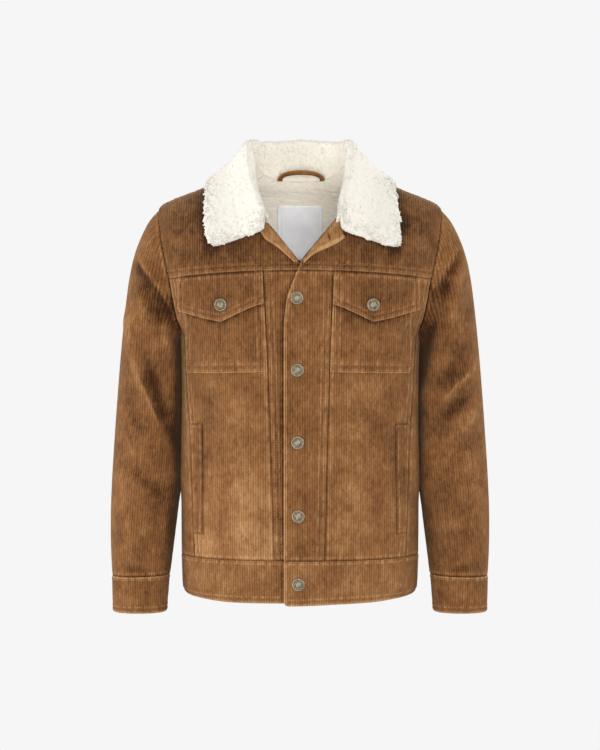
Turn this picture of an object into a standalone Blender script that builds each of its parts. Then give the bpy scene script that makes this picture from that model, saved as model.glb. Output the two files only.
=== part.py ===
"""A boy's corduroy trucker jacket with a sherpa collar, filled out as if worn.

Metres, +Z up. The origin is the middle of the neck, level with the two points where the shoulder
seams meet the collar, which is where a wearer carries the jacket. The front faces -Y, and +X is the
wearer's left. The body cloth is one surface, body(phi, v): phi is the angle round the wearer, 0 at
the centre front, 90 at the wearer's left and 180 at the centre back, and v counts the rings of
BODY_RINGS from the hem up to the neckline. Every panel is a stretch of that surface between seams.
"""

from math import acos, cos, degrees, exp, hypot, pi, radians, sin

import bmesh
import bpy
from mathutils import Vector
from mathutils.bvhtree import BVHTree

MM = 0.001

# Cloth
CORDUROY = 2.5 * MM
PATCH = 2.2 * MM
SHERPA = 6.0 * MM
SEAM_GAP = 0.3 * MM
SHARP_EDGE = 50.0

# Heights of the horizontal seams and rows, from the neck point, and places across the front
CENTRE_FRONT = -4.0 * MM
BUTTON_HEIGHTS = [-174.0, -267.0, -361.0, -455.0, -543.0]
# The outer front's lift over the under one: its height, and the x where it starts and its spread, mm
FRONT_LIFT, LIFT_START, LIFT_SPREAD = 3.2 * MM, 52.0, 30.0

# Rings of the body that seams run along, and the armhole's point where the side panel's seam meets it
HEM, BAND, ARMPIT, YOKE, SHOULDER, NECK = 0, 1, 5, 7, 9, 11
SIDE_SEAM_ANGLE = 135.0

# half_width at the side, depth forward and back of the side line, and the heights there, in mm
BODY_RINGS = [
    # half_width, front, back, z_front, z_side, z_back, squareness
    (156.5, 100.0, 92.0, -572.5, -567.0, -569.0, 2.35),
    (158.0, 101.0, 94.0, -515.0, -515.0, -515.0, 2.35),
    (158.3, 101.0, 92.0, -435.0, -435.0, -435.0, 2.35),
    (156.0, 100.0, 90.0, -355.0, -355.0, -355.0, 2.35),
    (155.5, 102.0, 94.0, -290.0, -290.0, -290.0, 2.35),
    (157.0, 104.0, 99.0, -232.0, -232.0, -232.0, 2.4),
    (174.0, 104.5, 102.0, -187.0, -194.0, -187.0, 2.45),
    (186.0, 104.0, 103.0, -138.0, -152.0, -138.0, 2.45),
    (193.0, 103.2, 99.0, -135.5, -103.0, -98.0, 2.3),
    (188.0, 102.5, 90.0, -133.0, -58.0, -69.0, 2.15),
    (128.0, 102.0, 78.0, -130.5, -28.0, -38.0, 2.05),
]
NECKLINE = [
    # phi, x, y, z
    (0.0, 0.0, -101.5, -128.0),
    (14.0, 14.0, -99.0, -111.0),
    (28.0, 32.0, -92.0, -89.0),
    (40.0, 47.5, -80.0, -70.0),
    (55.0, 61.0, -59.0, -45.0),
    (72.0, 69.0, -30.0, -17.0),
    (90.0, 71.0, 0.0, 0.0),
    (110.0, 65.0, 27.0, 0.0),
    (130.0, 53.0, 47.0, -10.0),
    (155.0, 28.0, 61.5, -18.0),
    (180.0, 0.0, 66.0, -19.0),
]

# The armhole: how far its front and back edges reach round from the side, how round it is, its points
ARMHOLE_FRONT, ARMHOLE_BACK, ARMHOLE_ROUNDNESS, ARMHOLE_STEP = 28.0, 26.0, 0.8, 15.0
# How far forward of the shoulder's ridge its seam runs at the neck, in degrees round the body
SHOULDER_SEAM_FORWARD = 12.0

# The wearer's left front edge, and the right one that lies under it
OUTER_EDGE_LINE = [
    # z, x of the edge
    (-118.0, 2.0),
    (-129.0, 1.0),
    (-144.0, -6.0),
    (-161.0, -12.5),
    (-176.0, -17.5),
    (-202.0, -20.5),
    (-230.0, -21.0),
]
UNDER_EDGE_LINE = [
    (-112.0, 5.0),
    (-130.0, 8.0),
    (-150.0, 12.0),
    (-175.0, 14.0),
]

# x of the long seam beside the buttons, at the yoke and at the band, for each front
FRONT_SEAMS = {1: (42.5, 31.5), -1: (-47.0, -33.0)}
SIDE_SEAM = [
    # ring, x where the front meets the side panel; above the last the seam runs to the armhole
    (1.0, 138.0),
    (2.0, 141.5),
    (3.0, 144.0),
    (4.0, 147.5),
]

# One arm of the sleeve pair, as sections from the armhole down
SLEEVE_RINGS = [
    # inner x, inner z, outer x, outer z, half_depth, y
    (158.5, -238.0, 203.0, -77.0, 50.0, 0.0),
    (159.0, -244.0, 218.5, -112.0, 53.0, 1.0),
    (158.4, -254.0, 227.5, -150.0, 54.0, 2.0),
    (157.2, -270.0, 234.0, -200.0, 53.0, 3.0),
    (156.6, -296.0, 239.5, -254.0, 51.0, 4.0),
    (156.8, -332.0, 244.0, -310.0, 49.0, 3.0),
    (157.6, -376.0, 248.0, -366.0, 47.0, 1.0),
    (159.2, -420.0, 251.0, -418.0, 45.0, -3.0),
    (163.5, -463.0, 252.5, -465.0, 43.0, -7.0),
    (168.5, -504.0, 252.0, -506.0, 40.0, -11.0),
    (173.0, -541.0, 250.0, -543.0, 36.5, -15.0),
]
CUFF_RINGS = [
    (173.8, -541.0, 250.0, -543.0, 36.5, -15.0),
    (175.5, -565.0, 249.7, -566.0, 35.5, -17.0),
    (177.5, -590.0, 248.7, -590.0, 34.5, -19.0),
]
SLEEVE_SQUARENESS = 2.25
ROUND = [ARMHOLE_STEP * k for k in range(24)]
# The two panels of a sleeve, by the angles of the seams that they run between
SLEEVE_PANELS = {"sleeve": (-60.0, 180.0), "under_sleeve": (180.0, 300.0)}

# Soft folds, each a line across the front or back of a sleeve: side 1 is the wearer's left, -1 the right
SLEEVE_FOLDS = [
    # side, face, x_0, z_0, x_1, z_1, half_width, height, mm
    (-1, "front", 204.0, -131.0, 168.0, -200.0, 8.0, 4.5),
    (-1, "front", 214.0, -152.0, 172.0, -226.0, 9.0, -3.2),
    (-1, "front", 232.0, -228.0, 212.0, -290.0, 8.0, 2.6),
    (-1, "front", 236.0, -330.0, 190.0, -362.0, 9.0, 2.4),
    (-1, "front", 240.0, -398.0, 196.0, -440.0, 9.0, -2.4),
    (-1, "front", 238.0, -524.0, 196.0, -536.0, 6.0, 2.2),
    (1, "front", 205.0, -118.0, 166.0, -192.0, 8.0, 4.5),
    (1, "front", 213.0, -130.0, 198.0, -206.0, 8.0, 3.2),
    (1, "front", 222.0, -150.0, 176.0, -236.0, 9.0, -3.0),
    (1, "front", 206.0, -238.0, 226.0, -296.0, 8.0, 2.6),
    (1, "front", 240.0, -352.0, 196.0, -390.0, 9.0, 2.4),
    (1, "front", 242.0, -420.0, 190.0, -452.0, 9.0, -2.2),
    (1, "front", 240.0, -522.0, 198.0, -534.0, 6.0, 2.2),
    (1, "back", 210.0, -120.0, 172.0, -196.0, 10.0, 4.0),
    (1, "back", 236.0, -250.0, 190.0, -300.0, 10.0, -3.0),
    (1, "back", 240.0, -360.0, 186.0, -332.0, 9.0, 3.0),
    (1, "back", 244.0, -440.0, 190.0, -400.0, 9.0, 2.4),
    (-1, "back", 208.0, -128.0, 174.0, -204.0, 10.0, 4.0),
    (-1, "back", 238.0, -262.0, 192.0, -312.0, 10.0, -3.0),
    (-1, "back", 242.0, -352.0, 188.0, -326.0, 9.0, 3.0),
    (-1, "back", 246.0, -452.0, 192.0, -412.0, 9.0, 2.4),
]

# Soft folds of the body: a line on the front or back, its half width and height
BODY_FOLDS = [
    # face, x_0, z_0, x_1, z_1, half_width, height, mm
    ("front", 120.0, -290.0, 132.0, -420.0, 16.0, -2.6),
    ("front", -122.0, -290.0, -134.0, -430.0, 16.0, -2.6),
    ("front", 70.0, -300.0, 62.0, -500.0, 18.0, 2.2),
    ("front", -72.0, -330.0, -66.0, -500.0, 18.0, 2.2),
    ("front", 96.0, -330.0, 104.0, -500.0, 14.0, -1.8),
    ("front", -100.0, -400.0, -96.0, -505.0, 14.0, -1.8),
    ("back", -90.0, -190.0, -110.0, -470.0, 18.0, 3.0),
    ("back", 92.0, -200.0, 112.0, -460.0, 18.0, 3.0),
    ("back", 30.0, -260.0, 22.0, -500.0, 18.0, -2.4),
    ("back", -40.0, -240.0, -34.0, -480.0, 18.0, 2.2),
    ("back", -130.0, -330.0, 10.0, -390.0, 16.0, -2.2),
    ("back", 125.0, -300.0, 30.0, -350.0, 16.0, 1.8),
]

# The collar's sections, from the front end round to the back; left_more opens the wearer's left leaf
COLLAR_FRONT_END = 37.0
COLLAR_RINGS = [
    # phi, roll_out, roll_forward, roll_up, leaf_x, leaf_y, leaf_z, left_more
    (37.0, 2.5, 8.0, 9.5, 113.0, -88.0, -112.0, 11.0),
    (44.0, 2.5, 7.0, 13.5, 120.5, -78.0, -96.0, 8.0),
    (54.0, 3.0, 4.0, 19.0, 124.0, -61.0, -68.0, 5.0),
    (68.0, 3.0, 1.0, 28.0, 123.0, -34.0, -40.0, 2.0),
    (90.0, 3.0, 0.0, 36.0, 120.0, 4.0, -20.0, 0.0),
    (118.0, 3.0, 0.0, 38.0, 99.0, 44.0, -22.0, 0.0),
    (148.0, 3.0, 0.0, 50.5, 58.0, 72.0, -28.0, 0.0),
    (180.0, 2.0, 0.0, 55.5, 0.0, 84.0, -31.0, 0.0),
]
ROLL_RADIUS = 6.5 * MM
# How far clear of the body the leaf's middle lies, and how much more at the front ends, mm
COLLAR_CLEAR, COLLAR_CLEAR_FRONT = 1.4, 3.5

LAPEL_SPRING = 1.6 * MM
# The neck corners turned open: the fold line and the free edge, from the collar down to the overlap
LAPELS = {
    # fold x, fold z, edge x, edge z, mm
    1: [
        (49.0, -70.5, 57.5, -97.5),
        (38.0, -83.5, 46.5, -105.0),
        (25.5, -98.5, 32.0, -112.0),
        (13.5, -113.5, 16.5, -119.5),
        (4.0, -126.0, 5.0, -130.5),
    ],
    -1: [
        (-47.0, -73.0, -51.5, -88.0),
        (-38.0, -83.5, -44.0, -99.5),
        (-25.5, -98.5, -30.5, -108.0),
        (-13.5, -113.5, -18.0, -118.5),
        (-3.0, -127.5, -7.5, -128.5),
    ],
}

FLAP_OUTLINE = [
    # x from the centre front, z of the lower edge, mm
    (44.0, -181.5),
    (60.0, -187.0),
    (80.0, -196.0),
    (98.0, -204.5),
    (120.0, -199.5),
    (140.0, -193.5),
    (162.0, -187.0),
]
FLAP_POINT, FLAP_BUTTON, FLAP_TOP_CLEAR = 98.0, -183.0, 0.8
POCKET_TOP, POCKET_BOTTOM = -165.0, -273.0
WELT_TOP, WELT_LOW = -339.0, -483.0
# The outer edge of the chest pocket, and under it the inner edge of the hand pocket's welt
POCKET_EDGE = {
    # z, x
    1: [(-140.0, 147.0), (-273.0, 142.0), (-330.0, 126.5), (-515.0, 125.5)],
    -1: [(-140.0, 152.0), (-273.0, 145.5), (-330.0, 129.0), (-515.0, 125.5)],
}
# The flap's outer edge as a share of the way from the pocket's edge to the panel's end
FLAP_EDGE = [
    # z, share
    (-140.0, 0.28),
    (-215.0, 0.4),
    (-300.0, 0.93),
    (-515.0, 0.93),
]

LINING, LINING_FIRST_ROW = 5.0 * MM, 10
LABEL_WIDTH, LABEL_TOP, LABEL_LOW, LABEL_THICKNESS = 62.0, -50.0, -122.0, 0.8 * MM
LOOP_HALF_SPAN, LOOP_RISE, LOOP_START, LOOP_LEAN = 31.0 * MM, 12.0 * MM, 4.4 * MM, 8.0 * MM
LOOP_WIDTH, LOOP_THICKNESS = 6.5 * MM, 2.4 * MM

MATERIALS = {
    # colour, roughness, metallic
    "corduroy": ((0.235, 0.118, 0.055), 0.95, 0.0),
    "sherpa": ((0.86, 0.82, 0.72), 1.0, 0.0),
    "metal": ((0.42, 0.38, 0.30), 0.35, 1.0),
    "label": ((0.82, 0.83, 0.87), 0.5, 0.0),
}


def clear_scene():
    for old in list(bpy.data.objects):
        bpy.data.objects.remove(old)


def material(name):
    found = bpy.data.materials.get(name)
    if found:
        return found
    colour, roughness, metallic = MATERIALS[name]
    made = bpy.data.materials.new(name)
    made.use_nodes = True
    shader = made.node_tree.nodes["Principled BSDF"]
    shader.inputs["Base Color"].default_value = (*colour, 1.0)
    shader.inputs["Roughness"].default_value = roughness
    shader.inputs["Metallic"].default_value = metallic
    return made


def smooth(share):
    """0 to 1 with level ends."""
    share = min(1.0, max(0.0, share))
    return share * share * (3.0 - 2.0 * share)


def mix(low, high, share):
    return low + (high - low) * share


def steps(count, low=0.0, high=1.0):
    return [mix(low, high, i / count) for i in range(count + 1)]


def slope(before, after):
    """A curve's slope between two steps, held back where they differ so that it never overshoots."""
    if before * after <= 0:
        return 0.0
    return (1 if before > 0 else -1) * min(abs(before + after) / 2, 2.5 * abs(before), 2.5 * abs(after))


def curve_through(rows, i, t):
    """Rows of numbers on a smooth curve, t of the way from row i to the next."""
    last = len(rows) - 1
    before, low, high, after = (rows[min(max(k, 0), last)] for k in (i - 1, i, i + 1, i + 2))
    made = []
    for a, b, c, d in zip(before, low, high, after):
        start = slope(b - a, c - b) if i > 0 else c - b
        end = slope(c - b, d - c) if i + 2 <= last else c - b
        share = t * t * (3 - 2 * t)
        made.append(b + (c - b) * share + t * (1 - t) * (start * (1 - t) - end * t))
    return made


def spline(rows, at):
    at = min(max(at, 0.0), len(rows) - 1.0)
    i = min(int(at), len(rows) - 2)
    return curve_through(rows, i, at - i)


def placed(table, key):
    """The index in the table, with its fraction, where the first column reaches key."""
    i = 0
    while i < len(table) - 2 and table[i + 1][0] <= key:
        i += 1
    share = (key - table[i][0]) / (table[i + 1][0] - table[i][0])
    return i + min(1.0, max(0.0, share))


def along(table, key):
    """The table's other columns where the first reaches key, straight between rows."""
    rows = sorted(table)
    at = placed(rows, key)
    i = min(int(at), len(rows) - 2)
    return [mix(a, b, at - i) for a, b in zip(rows[i][1:], rows[i + 1][1:])]


def fold_height(folds, x, z):
    """How far soft folds, each (x0, z0, x1, z1, half_width, height), raise the cloth at a place."""
    height = 0.0
    for x0, z0, x1, z1, half_width, high in folds:
        length = hypot(x1 - x0, z1 - z0)
        share = ((x - x0) * (x1 - x0) + (z - z0) * (z1 - z0)) / length ** 2
        away = ((x - x0) * (z1 - z0) - (z - z0) * (x1 - x0)) / length
        if -0.25 < share < 1.25:
            ends = smooth((share + 0.25) / 0.5) * smooth((1.25 - share) / 0.5)
            height += high * ends * exp(-((away / half_width) ** 2))
    return height * MM


# The body surface


def ring_place(ring, phi):
    """The point of one body ring at an angle, in mm."""
    if ring == NECK:
        around = abs((phi + 180.0) % 360.0 - 180.0)
        _, x, y, z = spline(NECKLINE, placed(NECKLINE, around))
        return (x if sin(radians(phi)) >= 0 else -x, y, z)
    half_width, front, back, z_front, z_side, z_back, square = BODY_RINGS[ring]
    s, c = sin(radians(phi)), cos(radians(phi))
    corner = (abs(s) ** square + abs(c) ** square) ** (-1.0 / square)
    depth, z_end = (front, z_front) if c > 0 else (back, z_back)
    return (half_width * corner * s, -depth * corner * c, z_side + (z_end - z_side) * c * c)


def body_base(phi, v):
    v = min(max(v, 0.0), float(NECK))
    i = min(int(v), NECK - 1)
    first = max(i - 1, HEM)
    rings = [ring_place(k, phi) for k in range(first, min(i + 2, NECK) + 1)]
    return Vector(curve_through(rings, i - first, v - i)) * MM


def body_normal(phi, v):
    across = body_base(phi + 0.5, v) - body_base(phi - 0.5, v)
    up = body_base(phi, v + 0.05) - body_base(phi, v - 0.05)
    return across.cross(up).normalized()


def body(phi, v, out=0.0):
    """The cloth's outer face with its folds, and out metres outside it."""
    point = body_base(phi, v)
    face = "front" if cos(radians(phi)) > 0 else "back"
    folds = [fold[1:] for fold in BODY_FOLDS if fold[0] == face]
    return point + body_normal(phi, v) * (out + fold_height(folds, point.x / MM, point.z / MM))


def phi_at_x(x, v):
    """The angle of the front at which the ring at v reaches x."""
    phi = 0.0
    reach = body_base(90.0, v).x * 1.15
    for _ in range(16):
        phi = min(88.0, max(-88.0, phi + degrees((x - body_base(phi, v).x) / reach)))
    return phi


def v_at_z(z, phi):
    """The ring value at which the column at phi reaches height z."""
    low, high = float(HEM), float(NECK)
    for _ in range(18):
        middle = (low + high) / 2
        if body_base(phi, middle).z < z:
            low = middle
        else:
            high = middle
    return low


def armhole(angle):
    """(phi, v) of the armhole at an angle round it: 0 at the shoulder, 90 in front, 180 under the arm."""
    s, c = sin(radians(angle)), cos(radians(angle))
    reach = ARMHOLE_FRONT if s > 0 else -ARMHOLE_BACK
    return 90.0 - reach * abs(s) ** ARMHOLE_ROUNDNESS, (SHOULDER + ARMPIT) / 2 + (SHOULDER - ARMPIT) / 2 * c


def armhole_phi(v, back=False):
    """The angle where a row of a front or back panel ends at the armhole."""
    share = (v - (SHOULDER + ARMPIT) / 2) / ((SHOULDER - ARMPIT) / 2)
    angle = degrees(acos(min(1.0, max(-1.0, share))))
    return armhole(-angle if back else angle)[0]


def shoulder_seam(v):
    """The shoulder seam's angle, which runs forward of the ridge towards the neck."""
    return 90.0 - SHOULDER_SEAM_FORWARD * smooth((v - SHOULDER) / (NECK - SHOULDER))


def front_lift(x, outer):
    """The outer front rises over the under one towards the overlap."""
    return FRONT_LIFT * smooth((LIFT_START - x / MM) / LIFT_SPREAD) if outer else 0.0


# Walls


def wall(name, outer, inner, slot, ring=False):
    """One closed solid between two grids of points. In a ring the last column joins the first."""
    shape = bmesh.new()
    grids = [[[shape.verts.new(point) for point in row] for row in grid] for grid in (outer, inner)]
    rows, columns = len(outer), len(outer[0])
    spans = columns if ring else columns - 1
    for grid in grids:
        for i in range(rows - 1):
            for j in range(spans):
                k = (j + 1) % columns
                shape.faces.new([grid[i][j], grid[i][k], grid[i + 1][k], grid[i + 1][j]])
    for i in (0, rows - 1):
        for j in range(spans):
            k = (j + 1) % columns
            shape.faces.new([grids[0][i][j], grids[0][i][k], grids[1][i][k], grids[1][i][j]])
    if not ring:
        for j in (0, columns - 1):
            for i in range(rows - 1):
                shape.faces.new([grids[0][i][j], grids[0][i + 1][j], grids[1][i + 1][j], grids[1][i][j]])
    bmesh.ops.recalc_face_normals(shape, faces=shape.faces)
    mesh = bpy.data.meshes.new(name)
    shape.to_mesh(mesh)
    shape.free()
    return finish(name, mesh, slot)


def finish(name, mesh, slot):
    mesh.materials.append(material(slot))
    mesh.shade_smooth()
    mesh.set_sharp_from_angle(angle=radians(SHARP_EDGE))
    made = bpy.data.objects.new(name, mesh)
    bpy.context.scene.collection.objects.link(made)
    return made


def pulled_in(grid, ends=True):
    """The grid with its border points moved half a seam gap towards their neighbours inside."""
    rows, columns = len(grid), len(grid[0])
    moved = [[point.copy() for point in row] for row in grid]
    for i in range(rows):
        for j in range(columns):
            if ends and i in (0, rows - 1):
                beside = grid[1 if i == 0 else rows - 2][j]
                moved[i][j] += (beside - grid[i][j]).normalized() * SEAM_GAP / 2
            if j in (0, columns - 1):
                beside = grid[i][1 if j == 0 else columns - 2]
                moved[i][j] += (beside - grid[i][j]).normalized() * SEAM_GAP / 2
    return moved


class Panel:
    """A stretch of body cloth: rows of (phi, v) spots, kept so that what lies on it is made from them."""

    def __init__(self, spots, outer=False):
        self.points = [
            [body(phi, v, front_lift(body_base(phi, v).x, outer)) for phi, v in row] for row in spots
        ]
        self.normals = [[body_normal(phi, v) for phi, v in row] for row in spots]

    def at(self, i, j, out=0.0):
        """The place i rows up and j columns along, counted in the panel's own points, and out of it."""
        low_i, low_j = min(int(i), len(self.points) - 2), min(int(j), len(self.points[0]) - 2)
        share_i, share_j = i - low_i, j - low_j

        def blend(grid):
            low = grid[low_i][low_j].lerp(grid[low_i][low_j + 1], share_j)
            high = grid[low_i + 1][low_j].lerp(grid[low_i + 1][low_j + 1], share_j)
            return low.lerp(high, share_i)

        return blend(self.points) + blend(self.normals).normalized() * out

    def row_at(self, z, j):
        """How many rows up the column at j reaches height z."""
        low, high = 0.0, len(self.points) - 1.0
        for _ in range(30):
            middle = (low + high) / 2
            if self.at(middle, j).z < z:
                low = middle
            else:
                high = middle
        return low

    def grid(self, out, rows=None, columns=None):
        rows = rows or range(len(self.points))
        columns = columns or range(len(self.points[0]))
        return [[self.at(i, j, out) for j in columns] for i in rows]

    def build(self, name):
        wall(name, pulled_in(self.grid(0.0)), pulled_in(self.grid(-CORDUROY)), "corduroy")


# Panels of the body


def side_seam_phi(v, back=False):
    top_phi, top_v = armhole(-SIDE_SEAM_ANGLE if back else SIDE_SEAM_ANGLE)
    rows = []
    for ring, x in SIDE_SEAM:
        phi = phi_at_x(x * MM, ring)
        rows.append((ring, 180.0 - phi if back else phi))
    return along(rows + [(top_v, top_phi)], v)[0]


SIDE_TOP = armhole(SIDE_SEAM_ANGLE)[1]


def armhole_levels(low, high):
    """The ring values of the armhole's own points above low and up to high."""
    levels = [armhole(angle)[1] for angle in ROUND if angle <= 180.0]
    return sorted(v for v in levels if low + 0.001 < v < high - 0.001)


PANEL_ROWS = steps(13, BAND, SIDE_TOP) + armhole_levels(SIDE_TOP, YOKE) + [float(YOKE)]
YOKE_ROWS = [float(YOKE)] + armhole_levels(YOKE, SHOULDER) + steps(5, SHOULDER, NECK)


def panel_end(v, back=False):
    """Where a front or back panel ends: at the side seam below, at the armhole above."""
    return side_seam_phi(v, back) if v <= SIDE_TOP else armhole_phi(v, back)


def edge_phi(v, outer):
    """The angle of a front's own edge at v, from its table of x against height."""
    table = OUTER_EDGE_LINE if outer else UNDER_EDGE_LINE
    phi = 0.0
    for _ in range(4):
        phi = phi_at_x(along(table, body_base(phi, v).z / MM)[0] * MM, v)
    return phi


def front_columns(v, side):
    """The angles of a front's columns at v: the buttoned panel's five, then the side one's nine."""
    height = (v - BAND) / (YOKE - BAND)
    top, low = FRONT_SEAMS[side]
    seam = side * mix(low, top, height)
    end_phi = panel_end(v)
    end = body_base(end_phi, v).x / MM
    z = body_base(70.0, v).z / MM
    pocket = min(along(POCKET_EDGE[side], z)[0], end - 3.0)
    flap = mix(pocket, end, along(FLAP_EDGE, z)[0])
    inner = seam + 1.0
    point = side * CENTRE_FRONT / MM + FLAP_POINT
    places = [seam, inner]
    places += [mix(inner, point, share) for share in (0.35, 0.68, 1.0)]
    places += [mix(point, pocket, share) for share in (0.45, 1.0)]
    side_phis = [side * phi_at_x(x * MM, v) for x in places + [flap]] + [side * end_phi]
    edge = edge_phi(v, side > 0)
    return [mix(edge, side_phis[0], share) for share in steps(4)], side_phis


def build_front(side):
    """The wearer's left front, side 1, is the outer one, and the right front lies under it."""
    tag = "left" if side > 0 else "right"
    outer = side > 0
    columns = [front_columns(v, side) for v in PANEL_ROWS]
    centre = Panel([[(phi, v) for phi in row[0]] for row, v in zip(columns, PANEL_ROWS)], outer)
    beside = Panel([[(phi, v) for phi in row[1]] for row, v in zip(columns, PANEL_ROWS)], outer)
    foot = columns[-1][0] + columns[-1][1][1:]
    spread = [(phi - foot[0]) / (foot[-1] - foot[0]) for phi in foot]
    even = steps(len(foot) - 1)
    rows = []
    for v in YOKE_ROWS:
        edge = edge_phi(v, outer)
        end = side * (armhole_phi(v) if v < SHOULDER else shoulder_seam(v))
        loose = smooth((v - YOKE) / 2.5)
        rows.append([(mix(edge, end, mix(a, b, loose)), v) for a, b in zip(spread, even)])
    yoke = Panel(rows, outer)
    centre.build(f"front_centre_{tag}")
    beside.build(f"front_side_{tag}")
    yoke.build(f"front_yoke_{tag}")
    build_pocket(side, beside)
    build_welt(side, beside)
    build_lapel(side)


def build_sides_and_back():
    columns = 6
    spots = []
    for t in steps(13):
        row = []
        for j in range(columns + 1):
            share = j / columns
            top_phi, top_v = armhole(mix(SIDE_SEAM_ANGLE, 360.0 - SIDE_SEAM_ANGLE, share))
            v = mix(BAND, top_v, t)
            phi = mix(side_seam_phi(v), side_seam_phi(v, back=True), share)
            at_top = mix(side_seam_phi(top_v), side_seam_phi(top_v, back=True), share)
            row.append((phi + (top_phi - at_top) * smooth(t), v))
        spots.append(row)
    Panel(spots).build("side_panel_left")
    Panel([[(-phi, v) for phi, v in row] for row in spots]).build("side_panel_right")

    across = steps(18)
    lower, upper = [], []
    for v in PANEL_ROWS:
        end = panel_end(v, back=True)
        lower.append([(mix(end, 360.0 - end, s), v) for s in across])
    for v in YOKE_ROWS:
        end = armhole_phi(v, back=True) if v < SHOULDER else shoulder_seam(v)
        upper.append([(mix(end, 360.0 - end, s), v) for s in across])
    Panel(lower).build("back_panel")
    Panel(upper).build("back_yoke")
    build_lining(Panel(lower[LINING_FIRST_ROW:-1] + upper))


def build_waistband():
    """One strip from the outer front edge, round the body, to the under front edge beneath it."""
    start = edge_phi(BAND, outer=True)
    end = 360.0 + edge_phi(BAND, outer=False)
    grids = []
    for depth in (0.0, -CORDUROY):
        rows = []
        for v in steps(3, HEM, BAND):
            row = []
            for share in steps(44):
                phi = mix(start, end, share)
                lift = front_lift(body_base(phi, v).x, share < 0.25)
                row.append(body(phi, v, depth + lift))
            rows.append(row)
        grids.append(pulled_in(rows))
    wall("waistband", grids[0], grids[1], "corduroy")


# Sleeves


def ring_point(row, angle):
    """A point of one sleeve section: its ellipse leans from the inner side to the outer."""
    inner_x, inner_z, outer_x, outer_z, half_depth, y = row
    s, c = sin(radians(angle)), cos(radians(angle))
    corner = (abs(s) ** SLEEVE_SQUARENESS + abs(c) ** SLEEVE_SQUARENESS) ** (-1.0 / SLEEVE_SQUARENESS)
    middle = Vector(((inner_x + outer_x) / 2, y, (inner_z + outer_z) / 2))
    reach = Vector(((outer_x - inner_x) / 2, 0.0, (outer_z - inner_z) / 2))
    return (middle + reach * corner * c + Vector((0.0, -half_depth * corner * s, 0.0))) * MM


def sleeve_base(angle, t):
    """The sleeve's outer face at an angle round it and t sections down from the armhole."""
    t = min(max(t, 0.0), float(len(SLEEVE_RINGS)))
    rows = [list(body_base(*armhole(angle)))] + [list(ring_point(row, angle)) for row in SLEEVE_RINGS]
    return Vector(spline(rows, t))


def sleeve_normal(angle, t):
    around = sleeve_base(angle + 2.0, t) - sleeve_base(angle - 2.0, t)
    down = sleeve_base(angle, t + 0.1) - sleeve_base(angle, t - 0.1)
    return around.cross(down).normalized()


def sleeve(angle, t, side, out=0.0):
    """Folds fade out at the armhole, and where the sleeve hangs against the body."""
    face = "front" if angle < 180.0 else "back"
    folds = [fold[2:] for fold in SLEEVE_FOLDS if fold[0] == side and fold[1] == face]
    point = sleeve_base(angle, t)
    share = smooth(t / 0.8) * smooth((abs(angle - 180.0) - 30.0) / 30.0)
    high = fold_height(folds, point.x / MM, point.z / MM) * share
    return point + sleeve_normal(angle, t) * (out + high)


def sleeve_start(angle, depth):
    """The sleeve's first points, clear of the armhole's edge whichever way the sleeve leaves it."""
    edge, normal = body_base(*armhole(angle)), body_normal(*armhole(angle))
    inward = normal.cross(body_base(*armhole(angle + 2.0)) - body_base(*armhole(angle - 2.0))).normalized()
    centre = (body_base(*armhole(90.0)) + body_base(*armhole(270.0))) / 2
    if inward.dot(centre - edge) < 0:
        inward = -inward
    facing = sleeve_normal(angle, 0.2)
    turn = acos(min(1.0, max(-1.0, facing.dot(normal)))) if facing.dot(inward) < 0 else 0.0
    clear = (inward * cos(turn / 2) + normal * sin(turn / 2)) * SEAM_GAP * 1.6
    return edge + clear - (normal * cos(turn) - inward * sin(turn)) * depth


def build_sleeve(side):
    tag = "left" if side > 0 else "right"
    levels = [0.35, 0.8, 1.3] + steps(14, 1.9, len(SLEEVE_RINGS))
    for panel, (first, last) in SLEEVE_PANELS.items():
        angles = [angle % 360.0 for angle in steps(int((last - first) / ARMHOLE_STEP), first, last)]
        grids = []
        for depth in (0.0, CORDUROY):
            rows = [[sleeve_start(angle, depth) for angle in angles]]
            rows += [[sleeve(angle, t, side, -depth) for angle in angles] for t in levels]
            mirrored = [[Vector((side * p.x, p.y, p.z)) for p in row] for row in rows]
            grids.append(pulled_in(mirrored, ends=False))
        wall(f"{panel}_{tag}", grids[0], grids[1], "corduroy")


def build_cuff(side):
    tag = "left" if side > 0 else "right"
    grids = []
    for depth in (0.0, CORDUROY):
        rows = []
        for t in steps(4, 0.0, 2.0):
            inner_x, inner_z, outer_x, outer_z, half_depth, y = spline(CUFF_RINGS, t)
            thick = depth / MM
            ring = (inner_x + thick, inner_z, outer_x - thick, outer_z, half_depth - thick, y)
            points = [ring_point(ring, angle) for angle in ROUND]
            rows.append([Vector((side * p.x, p.y, p.z - SEAM_GAP)) for p in points])
        grids.append(rows)
    wall(f"cuff_{tag}", grids[0], grids[1], "corduroy", ring=True)


# Collar


def body_tree():
    """The upper body as a surface that the collar lies over."""
    points, faces = [], []
    columns, levels = 72, steps(30, YOKE - 1, NECK)
    for v in levels:
        points += [body_base(360.0 * j / columns, v) for j in range(columns)]
    for i in range(len(levels) - 1):
        for j in range(columns):
            k = (j + 1) % columns
            faces.append((i * columns + j, i * columns + k, (i + 1) * columns + k, (i + 1) * columns + j))
    return BVHTree.FromPolygons(points, faces)


def laid_over(point, tree, clearance):
    """The point, moved out until it is clear of the body."""
    spot, normal, _, _ = tree.find_nearest(point)
    height = (point - spot).dot(normal)
    return point + normal * (clearance - height) if height < clearance else point


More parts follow.
